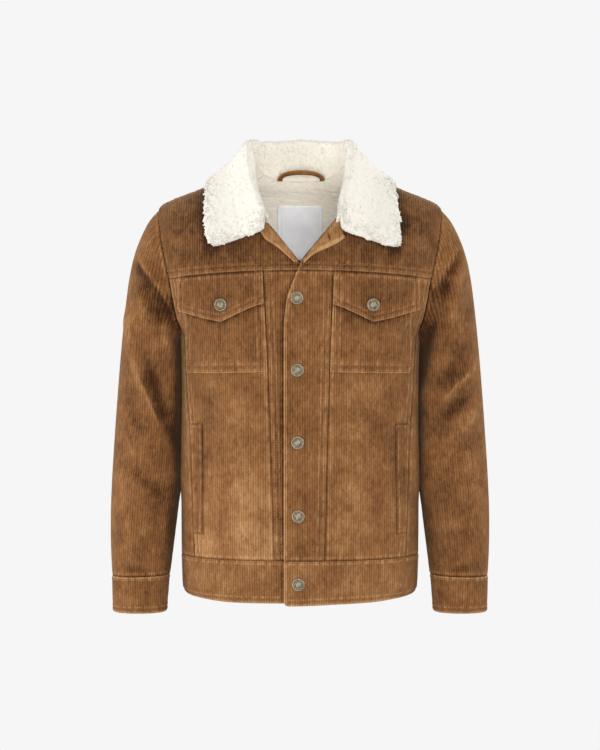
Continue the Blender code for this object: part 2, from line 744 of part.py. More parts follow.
def collar_section(phi, tree):
    """The middle of the collar's cloth: up from the neckline, over the roll and down to the leaf's edge."""
    around = min(phi, 360.0 - phi)
    side = 1.0 if phi <= 180.0 else -1.0
    row = spline(COLLAR_RINGS, placed(COLLAR_RINGS, around))
    _, out, forward, up, leaf_x, leaf_y, leaf_z, left_more = row
    seam, under = body_base(around, NECK), body(around, NECK, -CORDUROY)
    outward = Vector((seam.x, seam.y, 0.0)).normalized()
    base = Vector((under.x, under.y, seam.z)) - outward * (SHERPA / 2 + 2.5 * SEAM_GAP)
    roll = base + outward * out * MM + Vector((0, -forward * MM, up * MM))
    leaf = Vector((leaf_x + (left_more if side > 0 else 0.0), leaf_y, leaf_z)) * MM
    r = min(ROLL_RADIUS, up * MM * 0.8)
    sink = Vector((0, 0, -r))
    points = [
        base,
        base.lerp(roll - outward * r * 0.7 + sink, 0.55),
        roll - outward * r * 0.7 + sink,
        roll,
        roll + outward * r * 0.9 + sink,
        roll.lerp(leaf, 0.5) - outward * 0.5 * MM - Vector((0, 0, 3.5 * MM)),
        leaf,
    ]
    near_front = 1.0 - smooth((around - COLLAR_FRONT_END) / 30.0)
    for k in (4, 5, 6):
        clear = (COLLAR_CLEAR + COLLAR_CLEAR_FRONT * near_front) * MM
        points[k] = laid_over(points[k], tree, SHERPA / 2 + clear)
    return [Vector((side * p.x, p.y, p.z)) for p in points]


def build_collar(tree):
    stations = steps(28, COLLAR_FRONT_END, 360.0 - COLLAR_FRONT_END)
    sections = [[list(p) for p in collar_section(phi, tree)] for phi in stations]
    middle = [[Vector(spline(section, t)) for section in sections] for t in steps(11, 0.0, 6.0)]
    faces = []
    for depth in (SHERPA / 2, -SHERPA / 2):
        grid = []
        for i, row in enumerate(middle):
            shifted = []
            for j, point in enumerate(row):
                across = middle[min(i + 1, len(middle) - 1)][j] - middle[max(i - 1, 0)][j]
                around = row[min(j + 1, len(row) - 1)] - row[max(j - 1, 0)]
                shifted.append(point + across.cross(around).normalized() * depth)
            grid.append(shifted)
        grid[0] = [point + Vector((0, 0, SEAM_GAP * 2)) for point in grid[0]]
        faces.append(grid)
    wall("collar", faces[0], faces[1], "sherpa")


# Lapels, pockets, lining, label, loop and buttons


def tree_of(names):
    """The named pieces as one surface to seat others on."""
    points, faces = [], []
    for name in names:
        mesh = bpy.data.objects[name].data
        first = len(points)
        points += [vertex.co.copy() for vertex in mesh.vertices]
        faces += [[first + k for k in face.vertices] for face in mesh.polygons]
    return BVHTree.FromPolygons(points, faces)


def seated(tree, x, z):
    """The place and normal where a line from the front at x and z meets the pieces."""
    spot, normal, _, _ = tree.ray_cast(Vector((x, -0.5, z)), Vector((0, 1, 0)))
    return spot, normal if normal.y < 0 else -normal


def build_lapel(side):
    """The neck corner turned open: it lies on the yoke, springing off it a little at its free edge."""
    tag = "left" if side > 0 else "right"
    tree = tree_of([f"front_yoke_{tag}", f"front_centre_{tag}"])
    shown, hidden = [], []
    for t in steps(6, 0.0, len(LAPELS[side]) - 1.0):
        fold_x, fold_z, edge_x, edge_z = spline(LAPELS[side], t)
        top, under = [], []
        for share in steps(3):
            x, z = mix(fold_x, edge_x, share) * MM, mix(fold_z, edge_z, share) * MM
            spot, normal = seated(tree, x, z)
            rise = SEAM_GAP * 1.5 + LAPEL_SPRING * smooth(share)
            under.append(spot + normal * rise)
            top.append(spot + normal * (rise + PATCH))
        shown.append(top)
        hidden.append(under)
    wall(f"lapel_{tag}", shown, hidden, "corduroy")


def build_pocket(side, panel):
    tag = "left" if side > 0 else "right"
    centre = side * CENTRE_FRONT / MM
    first, pocket_last, flap_last = 1, 6, 7
    columns = list(range(first, pocket_last + 1))
    lows = [panel.row_at(POCKET_BOTTOM * MM, j) for j in columns]
    highs = [panel.row_at(POCKET_TOP * MM, j) for j in columns]
    between = [i for i in range(len(PANEL_ROWS)) if max(lows) + 0.2 < i < min(highs) - 0.2]
    levels = [lows] + [[i] * len(columns) for i in between] + [highs]
    faces = []
    for depth in (SEAM_GAP + PATCH, SEAM_GAP):
        faces.append([[panel.at(i, j, depth) for i, j in zip(rows, columns)] for rows in levels])
    wall(f"chest_pocket_{tag}", faces[0], faces[1], "corduroy")

    columns = list(range(first, flap_last + 1))
    last = len(PANEL_ROWS) - 1
    lows, highs = [], []
    for j in columns:
        x = abs(panel.at(last - 3, j).x) / MM - centre
        lows.append(panel.row_at(along(FLAP_OUTLINE, x)[0] * MM, j))
        highs.append(panel.row_at(panel.at(last, j).z - FLAP_TOP_CLEAR * MM, j))
    first_row = int(min(lows)) + 1
    between = [i for i in range(first_row, last) if i < min(highs) - 0.1]
    levels = [lows]
    for k, i in enumerate(between, 1):
        levels.append([max(i, low + 0.12 * k) for low in lows])
    levels.append(highs)
    faces = []
    for depth in (2 * SEAM_GAP + 2 * PATCH, 2 * SEAM_GAP + PATCH):
        faces.append([[panel.at(i, j, depth) for i, j in zip(rows, columns)] for rows in levels])
    wall(f"pocket_flap_{tag}", faces[0], faces[1], "corduroy")


def build_welt(side, panel):
    tag = "left" if side > 0 else "right"
    columns = [6.0, 6.5, 7.0]
    inner, outer = [], []
    for t in steps(6):
        rows = [panel.row_at(mix(WELT_LOW, WELT_TOP, t) * MM, j) for j in columns]
        inner.append([panel.at(i, j, SEAM_GAP) for i, j in zip(rows, columns)])
        outer.append([panel.at(i, j, SEAM_GAP + PATCH) for i, j in zip(rows, columns)])
    wall(f"pocket_welt_{tag}", outer, inner, "corduroy")


def build_lining(panel):
    """The sherpa that shows inside the back of the neck, under the back panels."""
    columns = range(1, len(panel.points[0]) - 1)
    near = -CORDUROY - 1.5 * SEAM_GAP
    faces = [panel.grid(near, columns=columns), panel.grid(near - LINING, columns=columns)]
    for column, j in enumerate(columns):
        seam, under = panel.points[-1][j], panel.at(len(panel.points) - 1, j, -CORDUROY)
        outward = Vector((seam.x, seam.y, 0.0)).normalized()
        top = Vector((under.x, under.y, seam.z - SEAM_GAP))
        faces[1][-1][column] = top - outward * (SEAM_GAP + LINING)
    wall("back_lining", faces[0], faces[1], "sherpa")
    build_label(panel, near - LINING)


def build_label(panel, lining_face):
    middle = (len(panel.points[0]) - 1) / 2
    half = LABEL_WIDTH / 2 * MM
    width = abs(panel.at(len(panel.points) - 5, middle + 1).x)
    reach = half / width
    faces = []
    for depth in (lining_face - 2 * SEAM_GAP, lining_face - 2 * SEAM_GAP - LABEL_THICKNESS):
        grid = []
        for t in steps(4):
            row = []
            for share in (-1.0, -0.5, 0.0, 0.5, 1.0):
                j = middle + reach * share
                i = panel.row_at(mix(LABEL_LOW, LABEL_TOP, t) * MM, j)
                spot = panel.at(i, j, depth)
                spot.x = half * share
                row.append(spot)
            grid.append(row)
        faces.append(grid)
    wall("neck_label", faces[0], faces[1], "label")


def build_loop():
    """The hanging loop: a flat strip whose ends lie on the collar's stand and whose arch leans off it."""
    stand = tree_of(["collar"])
    base = body_base(180.0, NECK)
    faces = []
    for depth in (SEAM_GAP, SEAM_GAP + LOOP_THICKNESS):
        grid = []
        for k in range(15):
            turn = pi * k / 14
            x, z = -LOOP_HALF_SPAN * cos(turn), base.z + LOOP_RISE * sin(turn) ** 0.8 + LOOP_START
            row = []
            for edge in (-1, 1):
                half = edge * LOOP_WIDTH / 2
                place = Vector((x - half * cos(turn), 0.0, z + half * sin(turn)))
                spot, _, _, _ = stand.ray_cast(place, Vector((0, 1, 0)))
                row.append(spot - Vector((0, depth + LOOP_LEAN * sin(turn), 0)))
            grid.append(row)
        faces.append(grid)
    wall("hanging_loop", faces[0], faces[1], "corduroy")


BUTTON_PROFILE = [
    # radius, height above the cloth, mm
    (2.4, 0.3),
    (2.4, 1.0),
    (8.3, 1.0),
    (8.1, 2.2),
    (7.0, 2.7),
    (6.2, 2.1),
    (3.2, 2.1),
    (2.4, 2.9),
]


def build_button(name, tree, x, z):
    """A turned button: a rim, a sunk ring and a raised middle, on a short post."""
    seat, normal = seated(tree, x, z)
    turned = normal.to_track_quat("Z", "Y")
    shape = bmesh.new()
    sides = 18
    rings = []
    for radius, height in BUTTON_PROFILE:
        ring = []
        for k in range(sides):
            turn = 2 * pi * k / sides
            place = Vector((radius * cos(turn), radius * sin(turn), height)) * MM
            ring.append(shape.verts.new(seat + turned @ place))
        rings.append(ring)
    for low, high in zip(rings, rings[1:]):
        for k in range(sides):
            shape.faces.new([low[k], low[(k + 1) % sides], high[(k + 1) % sides], high[k]])
    shape.faces.new(rings[0])
    shape.faces.new(rings[-1])
    bmesh.ops.recalc_face_normals(shape, faces=shape.faces)
    mesh = bpy.data.meshes.new(name)
    shape.to_mesh(mesh)
    shape.free()
    finish(name, mesh, "metal")


def build_buttons():
    front = tree_of(["front_centre_left", "waistband"])
    for number, height in enumerate(BUTTON_HEIGHTS, 1):
        build_button(f"front_button_{number}", front, CENTRE_FRONT, height * MM)
    for side, tag in ((1, "left"), (-1, "right")):
        x = CENTRE_FRONT + side * FLAP_POINT * MM
        build_button(f"flap_button_{tag}", tree_of([f"pocket_flap_{tag}"]), x, FLAP_BUTTON * MM)


clear_scene()
for side in (1, -1):
    build_front(side)
    build_sleeve(side)
    build_cuff(side)
build_sides_and_back()
build_waistband()
build_collar(body_tree())
build_loop()
build_buttons()
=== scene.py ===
from math import cos, pi, radians, sin, sqrt

import bpy
import numpy as np
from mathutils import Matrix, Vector, noise
from mathutils.bvhtree import BVHTree


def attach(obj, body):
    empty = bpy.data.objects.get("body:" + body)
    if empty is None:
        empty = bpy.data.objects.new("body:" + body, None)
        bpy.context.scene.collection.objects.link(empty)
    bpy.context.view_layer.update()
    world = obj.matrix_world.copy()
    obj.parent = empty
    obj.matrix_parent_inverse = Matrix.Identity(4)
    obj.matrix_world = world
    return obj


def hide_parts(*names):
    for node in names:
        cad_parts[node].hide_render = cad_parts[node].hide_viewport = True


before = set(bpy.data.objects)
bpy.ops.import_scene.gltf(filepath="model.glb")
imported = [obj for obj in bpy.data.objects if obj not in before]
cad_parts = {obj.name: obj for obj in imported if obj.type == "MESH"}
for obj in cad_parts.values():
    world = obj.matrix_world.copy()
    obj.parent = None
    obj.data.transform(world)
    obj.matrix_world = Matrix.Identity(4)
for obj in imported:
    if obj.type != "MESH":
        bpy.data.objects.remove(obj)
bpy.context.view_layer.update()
bpy.ops.object.select_all(action="DESELECT")
mm = 0.001
print("frame loaded")

# Sizes are in millimetres, and angles in degrees, until a mesh is made.
# Angles go round the body: 0 at the centre front, 90 at the wearer's left, 180 at the centre back.
hemRing, bandRing, armpitRing, yokeRing, shoulderRing, neckRing = 0, 1, 5, 7, 9, 11
bodyRings = [
    # half width, front, back, z in front, z at the side, z behind, squareness
    (156.5, 100.0, 92.0, -572.5, -567.0, -569.0, 2.35),
    (158.0, 101.0, 94.0, -515.0, -515.0, -515.0, 2.35),
    (158.3, 101.0, 92.0, -435.0, -435.0, -435.0, 2.35),
    (156.0, 100.0, 90.0, -355.0, -355.0, -355.0, 2.35),
    (155.5, 102.0, 94.0, -290.0, -290.0, -290.0, 2.35),
    (157.0, 104.0, 99.0, -232.0, -232.0, -232.0, 2.4),
    (174.0, 104.5, 102.0, -187.0, -194.0, -187.0, 2.45),
    (186.0, 104.0, 103.0, -138.0, -152.0, -138.0, 2.45),
    (193.0, 103.2, 99.0, -135.5, -103.0, -98.0, 2.3),
    (188.0, 102.5, 90.0, -133.0, -58.0, -69.0, 2.15),
    (128.0, 102.0, 78.0, -130.5, -28.0, -38.0, 2.05),
]
neckLine = np.array([
    # angle, x, y, z
    (0.0, 0.0, -101.5, -128.0),
    (14.0, 14.0, -99.0, -111.0),
    (28.0, 32.0, -92.0, -89.0),
    (40.0, 47.5, -80.0, -70.0),
    (55.0, 61.0, -59.0, -45.0),
    (72.0, 69.0, -30.0, -17.0),
    (90.0, 71.0, 0.0, 0.0),
    (110.0, 65.0, 27.0, 0.0),
    (130.0, 53.0, 47.0, -10.0),
    (155.0, 28.0, 61.5, -18.0),
    (180.0, 0.0, 66.0, -19.0),
])
cloth = {
    "wale": 3.175,           # from rib to rib
    "samples": 4,            # columns of points to a rib
    "ribHeight": 0.58,
    "thickness": 2.3,        # from the plain inside to the foot of the ribs
    "rowStep": 6.2,
    "armRowStep": 4.6,
    "seamRow": 0.9,          # rows are this close beside a seam
    "seamReach": 11.0,
    "seamGap": 0.1,
    "tuck": 1.3,             # how far the cloth runs on under its neighbour
    "rolled": 1.2,           # and past an edge that is rolled over
    "ridgeWearAndLight": 0.07,       # lighter on a fold's ridge, partly wear and partly painted highlight, to a millimetre of its height
    # darker in a fold's trough, painted shade, to a millimetre of its depth
    "troughDark": 0.14,
}
armLean = 0.052              # how far out the arm goes for each step down


def smooth(share):
    share = np.clip(share, 0.0, 1.0)
    return share * share * (3.0 - 2.0 * share)


def mix(low, high, share):
    return low + (high - low) * share


def unit(vectors):
    return vectors / np.maximum(np.linalg.norm(vectors, axis=-1, keepdims=True), 1e-9)


def table(rows, at):
    columns = np.array(rows)
    return np.interp(at, columns[:, 0], columns[:, 1])


def heldSlope(before, after):
    # the slope between two steps, held back where they differ, so that a curve never overshoots
    least = np.minimum(abs(before + after) / 2, 2.5 * np.minimum(abs(before), abs(after)))
    return np.where(before * after <= 0, 0.0, np.sign(before) * least)


def curveThrough(before, low, high, after, t, first, last):
    step = high - low
    start = np.where(first, step, heldSlope(low - before, step))
    end = np.where(last, step, heldSlope(step, after - high))
    return low + step * t * t * (3 - 2 * t) + t * (1 - t) * (start * (1 - t) - end * t)


def rowsAt(rows, at):
    # a smooth curve through rows of places, each of shape (..., 3), at as many rows up
    rows = np.asarray(rows, float)
    last = len(rows) - 1
    at = np.clip(at, 0.0, last)
    i = np.minimum(at.astype(int), last - 1)

    def row(k):
        index = np.clip(i + k, 0, last)
        if rows.ndim == 2:
            return rows[index]
        return np.take_along_axis(rows, index[None, ..., None], 0)[0]

    ends = (i == 0)[..., None], (i + 2 > last)[..., None]
    return curveThrough(row(-1), row(0), row(1), row(2), (at - i)[..., None], *ends)


def ringPlaces(phi):
    s, c = np.sin(np.radians(phi)), np.cos(np.radians(phi))
    places = []
    for halfWidth, front, back, zFront, zSide, zBack, square in bodyRings:
        corner = (abs(s) ** square + abs(c) ** square) ** (-1.0 / square)
        depth, zEnd = np.where(c > 0, front, back), np.where(c > 0, zFront, zBack)
        z = zSide + (zEnd - zSide) * c * c
        places.append(np.stack([halfWidth * corner * s, -depth * corner * c, z], -1))
    around = abs((phi + 180.0) % 360.0 - 180.0)
    neck = rowsAt(neckLine[:, 1:], np.interp(around, neckLine[:, 0], np.arange(len(neckLine))))
    neck[..., 0] *= np.where(s >= 0, 1.0, -1.0)
    return np.stack(places + [neck])


def bodyBase(phi, v):
    phi, v = np.broadcast_arrays(np.asarray(phi, float), np.asarray(v, float))
    return rowsAt(ringPlaces(phi), v)


def bodyNormal(phi, v):
    across = bodyBase(phi + 0.5, v) - bodyBase(phi - 0.5, v)
    up = bodyBase(phi, v + 0.05) - bodyBase(phi, v - 0.05)
    return unit(np.cross(across, up))


def phiAtX(x, v):
    x, v = np.broadcast_arrays(np.asarray(x, float), np.asarray(v, float))
    phi = np.zeros(x.shape)
    reach = bodyBase(90.0 + 0 * v, v)[..., 0] * 1.15
    for _ in range(16):
        phi = np.clip(phi + np.degrees((x - bodyBase(phi, v)[..., 0]) / reach), -88.0, 88.0)
    return phi


def levelAtHeight(z, phi):
    z, phi = np.broadcast_arrays(np.asarray(z, float), np.asarray(phi, float))
    rings = ringPlaces(phi)
    low, high = np.zeros(z.shape), np.full(z.shape, float(neckRing))
    for _ in range(16):
        middle = (low + high) / 2
        under = rowsAt(rings, middle)[..., 2] < z
        low, high = np.where(under, middle, low), np.where(under, high, middle)
    return low


# Folds: a line across the cloth, its half width and how far it stands up or sinks in
bodyFolds = {
    "front": [
        (120.0, -290.0, 132.0, -420.0, 16.0, -2.6),
        (-122.0, -290.0, -134.0, -430.0, 16.0, -2.6),
        (70.0, -300.0, 62.0, -500.0, 18.0, 2.2),
        (-72.0, -330.0, -66.0, -500.0, 18.0, 2.2),
        (96.0, -330.0, 104.0, -500.0, 14.0, -1.8),
        (-100.0, -400.0, -96.0, -505.0, 14.0, -1.8),
    ],
    "back": [
        (-90.0, -190.0, -110.0, -470.0, 18.0, 3.0),
        (92.0, -200.0, 112.0, -460.0, 18.0, 3.0),
        (30.0, -260.0, 22.0, -500.0, 18.0, -2.4),
        (-40.0, -240.0, -34.0, -480.0, 18.0, 2.2),
        (-130.0, -330.0, 10.0, -390.0, 16.0, -2.2),
        (125.0, -300.0, 30.0, -350.0, 16.0, 1.8),
    ],
}
sleeveFolds = {
    # (side, face): 1 is the wearer's left sleeve and -1 the right
    (-1, "front"): [
        (210.0, -124.0, 166.0, -194.0, 6.0, 3.5),
        (212.0, -148.0, 176.0, -216.0, 8.0, -4.5),
        (178.0, -208.0, 172.0, -250.0, 5.0, 3.5),
        (230.0, -196.0, 213.0, -274.0, 7.0, 5.0),
        (213.0, -274.0, 182.0, -340.0, 8.0, 3.0),
        (200.0, -262.0, 162.0, -372.0, 9.0, -6.5),
        (232.0, -300.0, 206.0, -352.0, 9.0, -3.4),
        (236.0, -350.0, 196.0, -392.0, 8.0, 2.6),
        (240.0, -392.0, 190.0, -424.0, 8.0, -2.4),
        (222.0, -400.0, 226.0, -500.0, 13.0, 1.6),
        (184.0, -400.0, 190.0, -510.0, 10.0, -2.2),
        (228.0, -520.0, 196.0, -528.0, 5.0, 2.4),
        (226.0, -532.0, 198.0, -536.0, 4.0, -2.6),
    ],
    (1, "front"): [
        (208.0, -112.0, 164.0, -184.0, 6.0, 4.5),
        (214.0, -124.0, 196.0, -212.0, 5.5, 4.6),
        (197.0, -140.0, 169.0, -214.0, 8.0, -4.6),
        (170.0, -206.0, 158.0, -290.0, 8.0, -5.5),
        (230.0, -150.0, 216.0, -226.0, 8.0, -2.6),
        (218.0, -242.0, 188.0, -284.0, 8.0, -5.0),
        (230.0, -266.0, 190.0, -304.0, 7.0, 4.4),
        (226.0, -300.0, 184.0, -338.0, 8.0, -4.4),
        (236.0, -320.0, 192.0, -362.0, 8.0, 3.2),
        (240.0, -352.0, 192.0, -400.0, 9.0, -2.4),
        (232.0, -424.0, 198.0, -440.0, 7.0, 1.8),
        (232.0, -446.0, 196.0, -462.0, 7.0, -1.6),
        (222.0, -480.0, 196.0, -486.0, 7.0, -1.6),
        (222.0, -528.0, 202.0, -536.0, 4.5, -3.0),
        (226.0, -518.0, 204.0, -526.0, 5.0, 2.2),
    ],
    (1, "back"): [
        (208.0, -116.0, 166.0, -200.0, 8.0, 4.8),
        (218.0, -134.0, 174.0, -224.0, 9.0, -5.0),
        (236.0, -250.0, 190.0, -300.0, 10.0, -3.0),
        (240.0, -360.0, 186.0, -332.0, 9.0, 3.4),
        (242.0, -388.0, 186.0, -362.0, 8.0, -3.0),
        (244.0, -440.0, 190.0, -400.0, 9.0, 2.6),
        (240.0, -520.0, 198.0, -532.0, 6.0, 2.2),
    ],
    (-1, "back"): [
        (206.0, -122.0, 168.0, -206.0, 8.0, 4.8),
        (216.0, -140.0, 176.0, -232.0, 9.0, -5.0),
        (238.0, -262.0, 192.0, -312.0, 10.0, -3.0),
        (242.0, -352.0, 188.0, -326.0, 9.0, 3.4),
        (244.0, -380.0, 188.0, -354.0, 8.0, -3.0),
        (246.0, -452.0, 192.0, -412.0, 9.0, 2.6),
        (242.0, -516.0, 200.0, -530.0, 6.0, 2.2),
    ],
}


sleeveCreases = {
    # a sharp fold with its hollow: its line, how far the hollow reaches, how dark its painted shade is and
    # how deep it is
    # the hollow is on the outer side of a line that runs down and inwards
    -1: [(214.0, -126.0, 182.0, -167.0, 10.0, 1.0, 3.6), (182.0, -167.0, 159.0, -209.0, 11.0, 1.3, 4.2),
         (186.0, -338.0, 213.0, -274.0, 12.0, 0.5, 2.6)],
    1: [(209.0, -111.0, 163.0, -182.0, 10.0, 0.8, 3.6), (163.0, -182.0, 155.0, -236.0, 11.0, 1.1, 3.2),
        (194.0, -300.0, 230.0, -264.0, 11.0, 0.4, 2.2)],
}


def creaseParts(creases, x, z):
    # the painted shade in the hollow beside each sharp fold, the painted highlight along its line, and how
    # low the cloth is there
    dark, worn, low = (np.zeros(np.shape(x)) for _ in range(3))
    for x0, z0, x1, z1, reach, shade, depth in creases:
        length = np.hypot(x1 - x0, z1 - z0)
        share = ((x - x0) * (x1 - x0) + (z - z0) * (z1 - z0)) / length ** 2
        away = ((z - z0) * (x1 - x0) - (x - x0) * (z1 - z0)) / length
        ends = smooth((share + 0.12) / 0.24) * smooth((1.12 - share) / 0.24)
        below = ends * smooth((away + 0.6) / 2.6) * np.exp(-((np.maximum(away, 0.0) / reach) ** 2))
        dark, low = dark + shade * below, low + depth * below
        worn = worn + 0.4 * ends * np.exp(-((away + 1.2) / 1.7) ** 2)
    return dark, worn, low


def foldHeight(folds, x, z):
    height = np.zeros(np.shape(x))
    for x0, z0, x1, z1, halfWidth, high in folds:
        length = np.hypot(x1 - x0, z1 - z0)
        share = ((x - x0) * (x1 - x0) + (z - z0) * (z1 - z0)) / length ** 2
        away = ((x - x0) * (z1 - z0) - (z - z0) * (x1 - x0)) / length
        ends = smooth((share + 0.25) / 0.5) * smooth((1.25 - share) / 0.5)
        height += high * ends * np.exp(-((away / halfWidth) ** 2))
    return height


def bodyFoldHeight(places):
    x, y, z = np.moveaxis(places, -1, 0)
    front, back = foldHeight(bodyFolds["front"], x, z), foldHeight(bodyFolds["back"], x, z)
    swell = 2.4 * smooth((-z - 214.0) / 26.0) * smooth((452.0 + z) / 50.0) * smooth((abs(x) - 138.0) / 14.0)
    return swell + np.where(y < 0, front * smooth(-y / 25.0), back * smooth(y / 25.0))


# Seams of the body
armholeFront, armholeBack, armholeRoundness = 28.0, 26.0, 0.8
shoulderSeamForward = 12.0
sideSeamAngle = 135.0
sideSeam = [(1.0, 138.0), (2.0, 141.5), (3.0, 144.0), (4.0, 147.5)]   # ring, x
frontSeams = {1: (42.5, 31.5), -1: (-47.0, -33.0)}                    # x at the yoke and at the band
outerEdge = [(-230.0, -21.0), (-202.0, -20.5), (-176.0, -17.5), (-161.0, -12.5), (-144.0, -6.0),
             (-129.0, 1.0), (-118.0, 2.0)]                            # z, x
underEdge = [(-175.0, 14.0), (-150.0, 12.0), (-130.0, 8.0), (-112.0, 5.0)]
frontLift, liftStart, liftSpread = 3.2, 52.0, 30.0


def armhole(angle):
    s, c = np.sin(np.radians(angle)), np.cos(np.radians(angle))
    reach = np.where(s > 0, armholeFront, -armholeBack)
    phi = 90.0 - reach * abs(s) ** armholeRoundness
    return phi, (shoulderRing + armpitRing) / 2 + (shoulderRing - armpitRing) / 2 * c


def armholePhi(v, back=False):
    share = (v - (shoulderRing + armpitRing) / 2) / ((shoulderRing - armpitRing) / 2)
    angle = np.degrees(np.arccos(np.clip(share, -1.0, 1.0)))
    return armhole(-angle if back else angle)[0]


def shoulderSeam(v):
    return 90.0 - shoulderSeamForward * smooth((v - shoulderRing) / (neckRing - shoulderRing))


def sideSeamPhi(v, back=False):
    topPhi, topV = armhole(-sideSeamAngle if back else sideSeamAngle)
    rings = [row[0] for row in sideSeam]
    phis = [float(phiAtX(x, ring)) for ring, x in sideSeam]
    if back:
        phis = [180.0 - phi for phi in phis]
    return np.interp(v, rings + [float(topV)], phis + [float(topPhi)])


sideTop = float(armhole(sideSeamAngle)[1])


def panelEnd(v, back=False):
    return np.where(v <= sideTop, sideSeamPhi(v, back), armholePhi(v, back))


def edgePhi(v, outer):
    phi = np.zeros(np.shape(v))
    for _ in range(4):
        phi = phiAtX(table(outerEdge if outer else underEdge, bodyBase(phi, v)[..., 2]), v)
    return phi


def liftOver(places, outer):
    return frontLift * smooth((liftStart - places[..., 0]) / liftSpread) if outer else 0.0


# Cloth: a table of places, rows from the low edge up and columns that turn towards the wearer's left
def seamPuckers(along, seed):
    # uneven small waves beside a line of stitches, from -1 to 1
    height = np.zeros(np.shape(along))
    for k, wave in enumerate((7.3, 10.9, 17.0)):
        height += 0.4 * np.sin(2 * pi * along / wave + seed * (1.7 + k) + 1.3 * np.sin(along / 23.0 + seed))
    return height


seamFinishes = {
    # drop: how far the cloth sinks at the edge, and how far in
    # ridge: how far it stands up from the edge to past its stitches
    # pucker: how high its waves are, and how far they reach
    # dark: how dark the edge's painted shade is, how much the waves change that, and how far in
    # the lighter band: how light, partly rubbed and partly painted highlight, how much the waves change that,
    # how far from the edge, and how wide
    "under": {"drop": (0.9, 1.3), "ridge": 0.0, "pucker": (0.22, 7.0), "dark": (1.0, 0.0, 1.7),
              "worn": (0.3, 0.3, 4.0, 2.0)},
    "rolled": {"drop": (0.0, 1.0), "ridge": 0.0, "pucker": (0.0, 1.0), "dark": (0.0, 0.0, 1.0),
               "worn": (0.35, 0.0, 0.8, 1.6)},
    "flush": {"drop": (0.8, 0.9), "ridge": 0.0, "pucker": (0.0, 1.0), "dark": (0.32, 0.25, 1.1),
              "worn": (0.25, 0.25, 2.6, 1.4)},
    "soft": {"drop": (0.7, 0.9), "ridge": 0.35, "pucker": (0.4, 5.0), "dark": (0.35, 0.3, 1.2),
             "worn": (0.4, 0.4, 1.5, 1.7)},
    "over": {"drop": (0.8, 0.9), "ridge": 0.5, "pucker": (0.34, 6.0), "dark": (0.0, 0.0, 1.0),
             "worn": (0.95, 0.3, 1.2, 1.5)},
    "free": {"drop": (1.1, 0.9), "ridge": 0.5, "pucker": (0.34, 6.0), "dark": (0.0, 0.0, 1.0),
             "worn": (0.95, 0.3, 1.2, 1.5)},
}


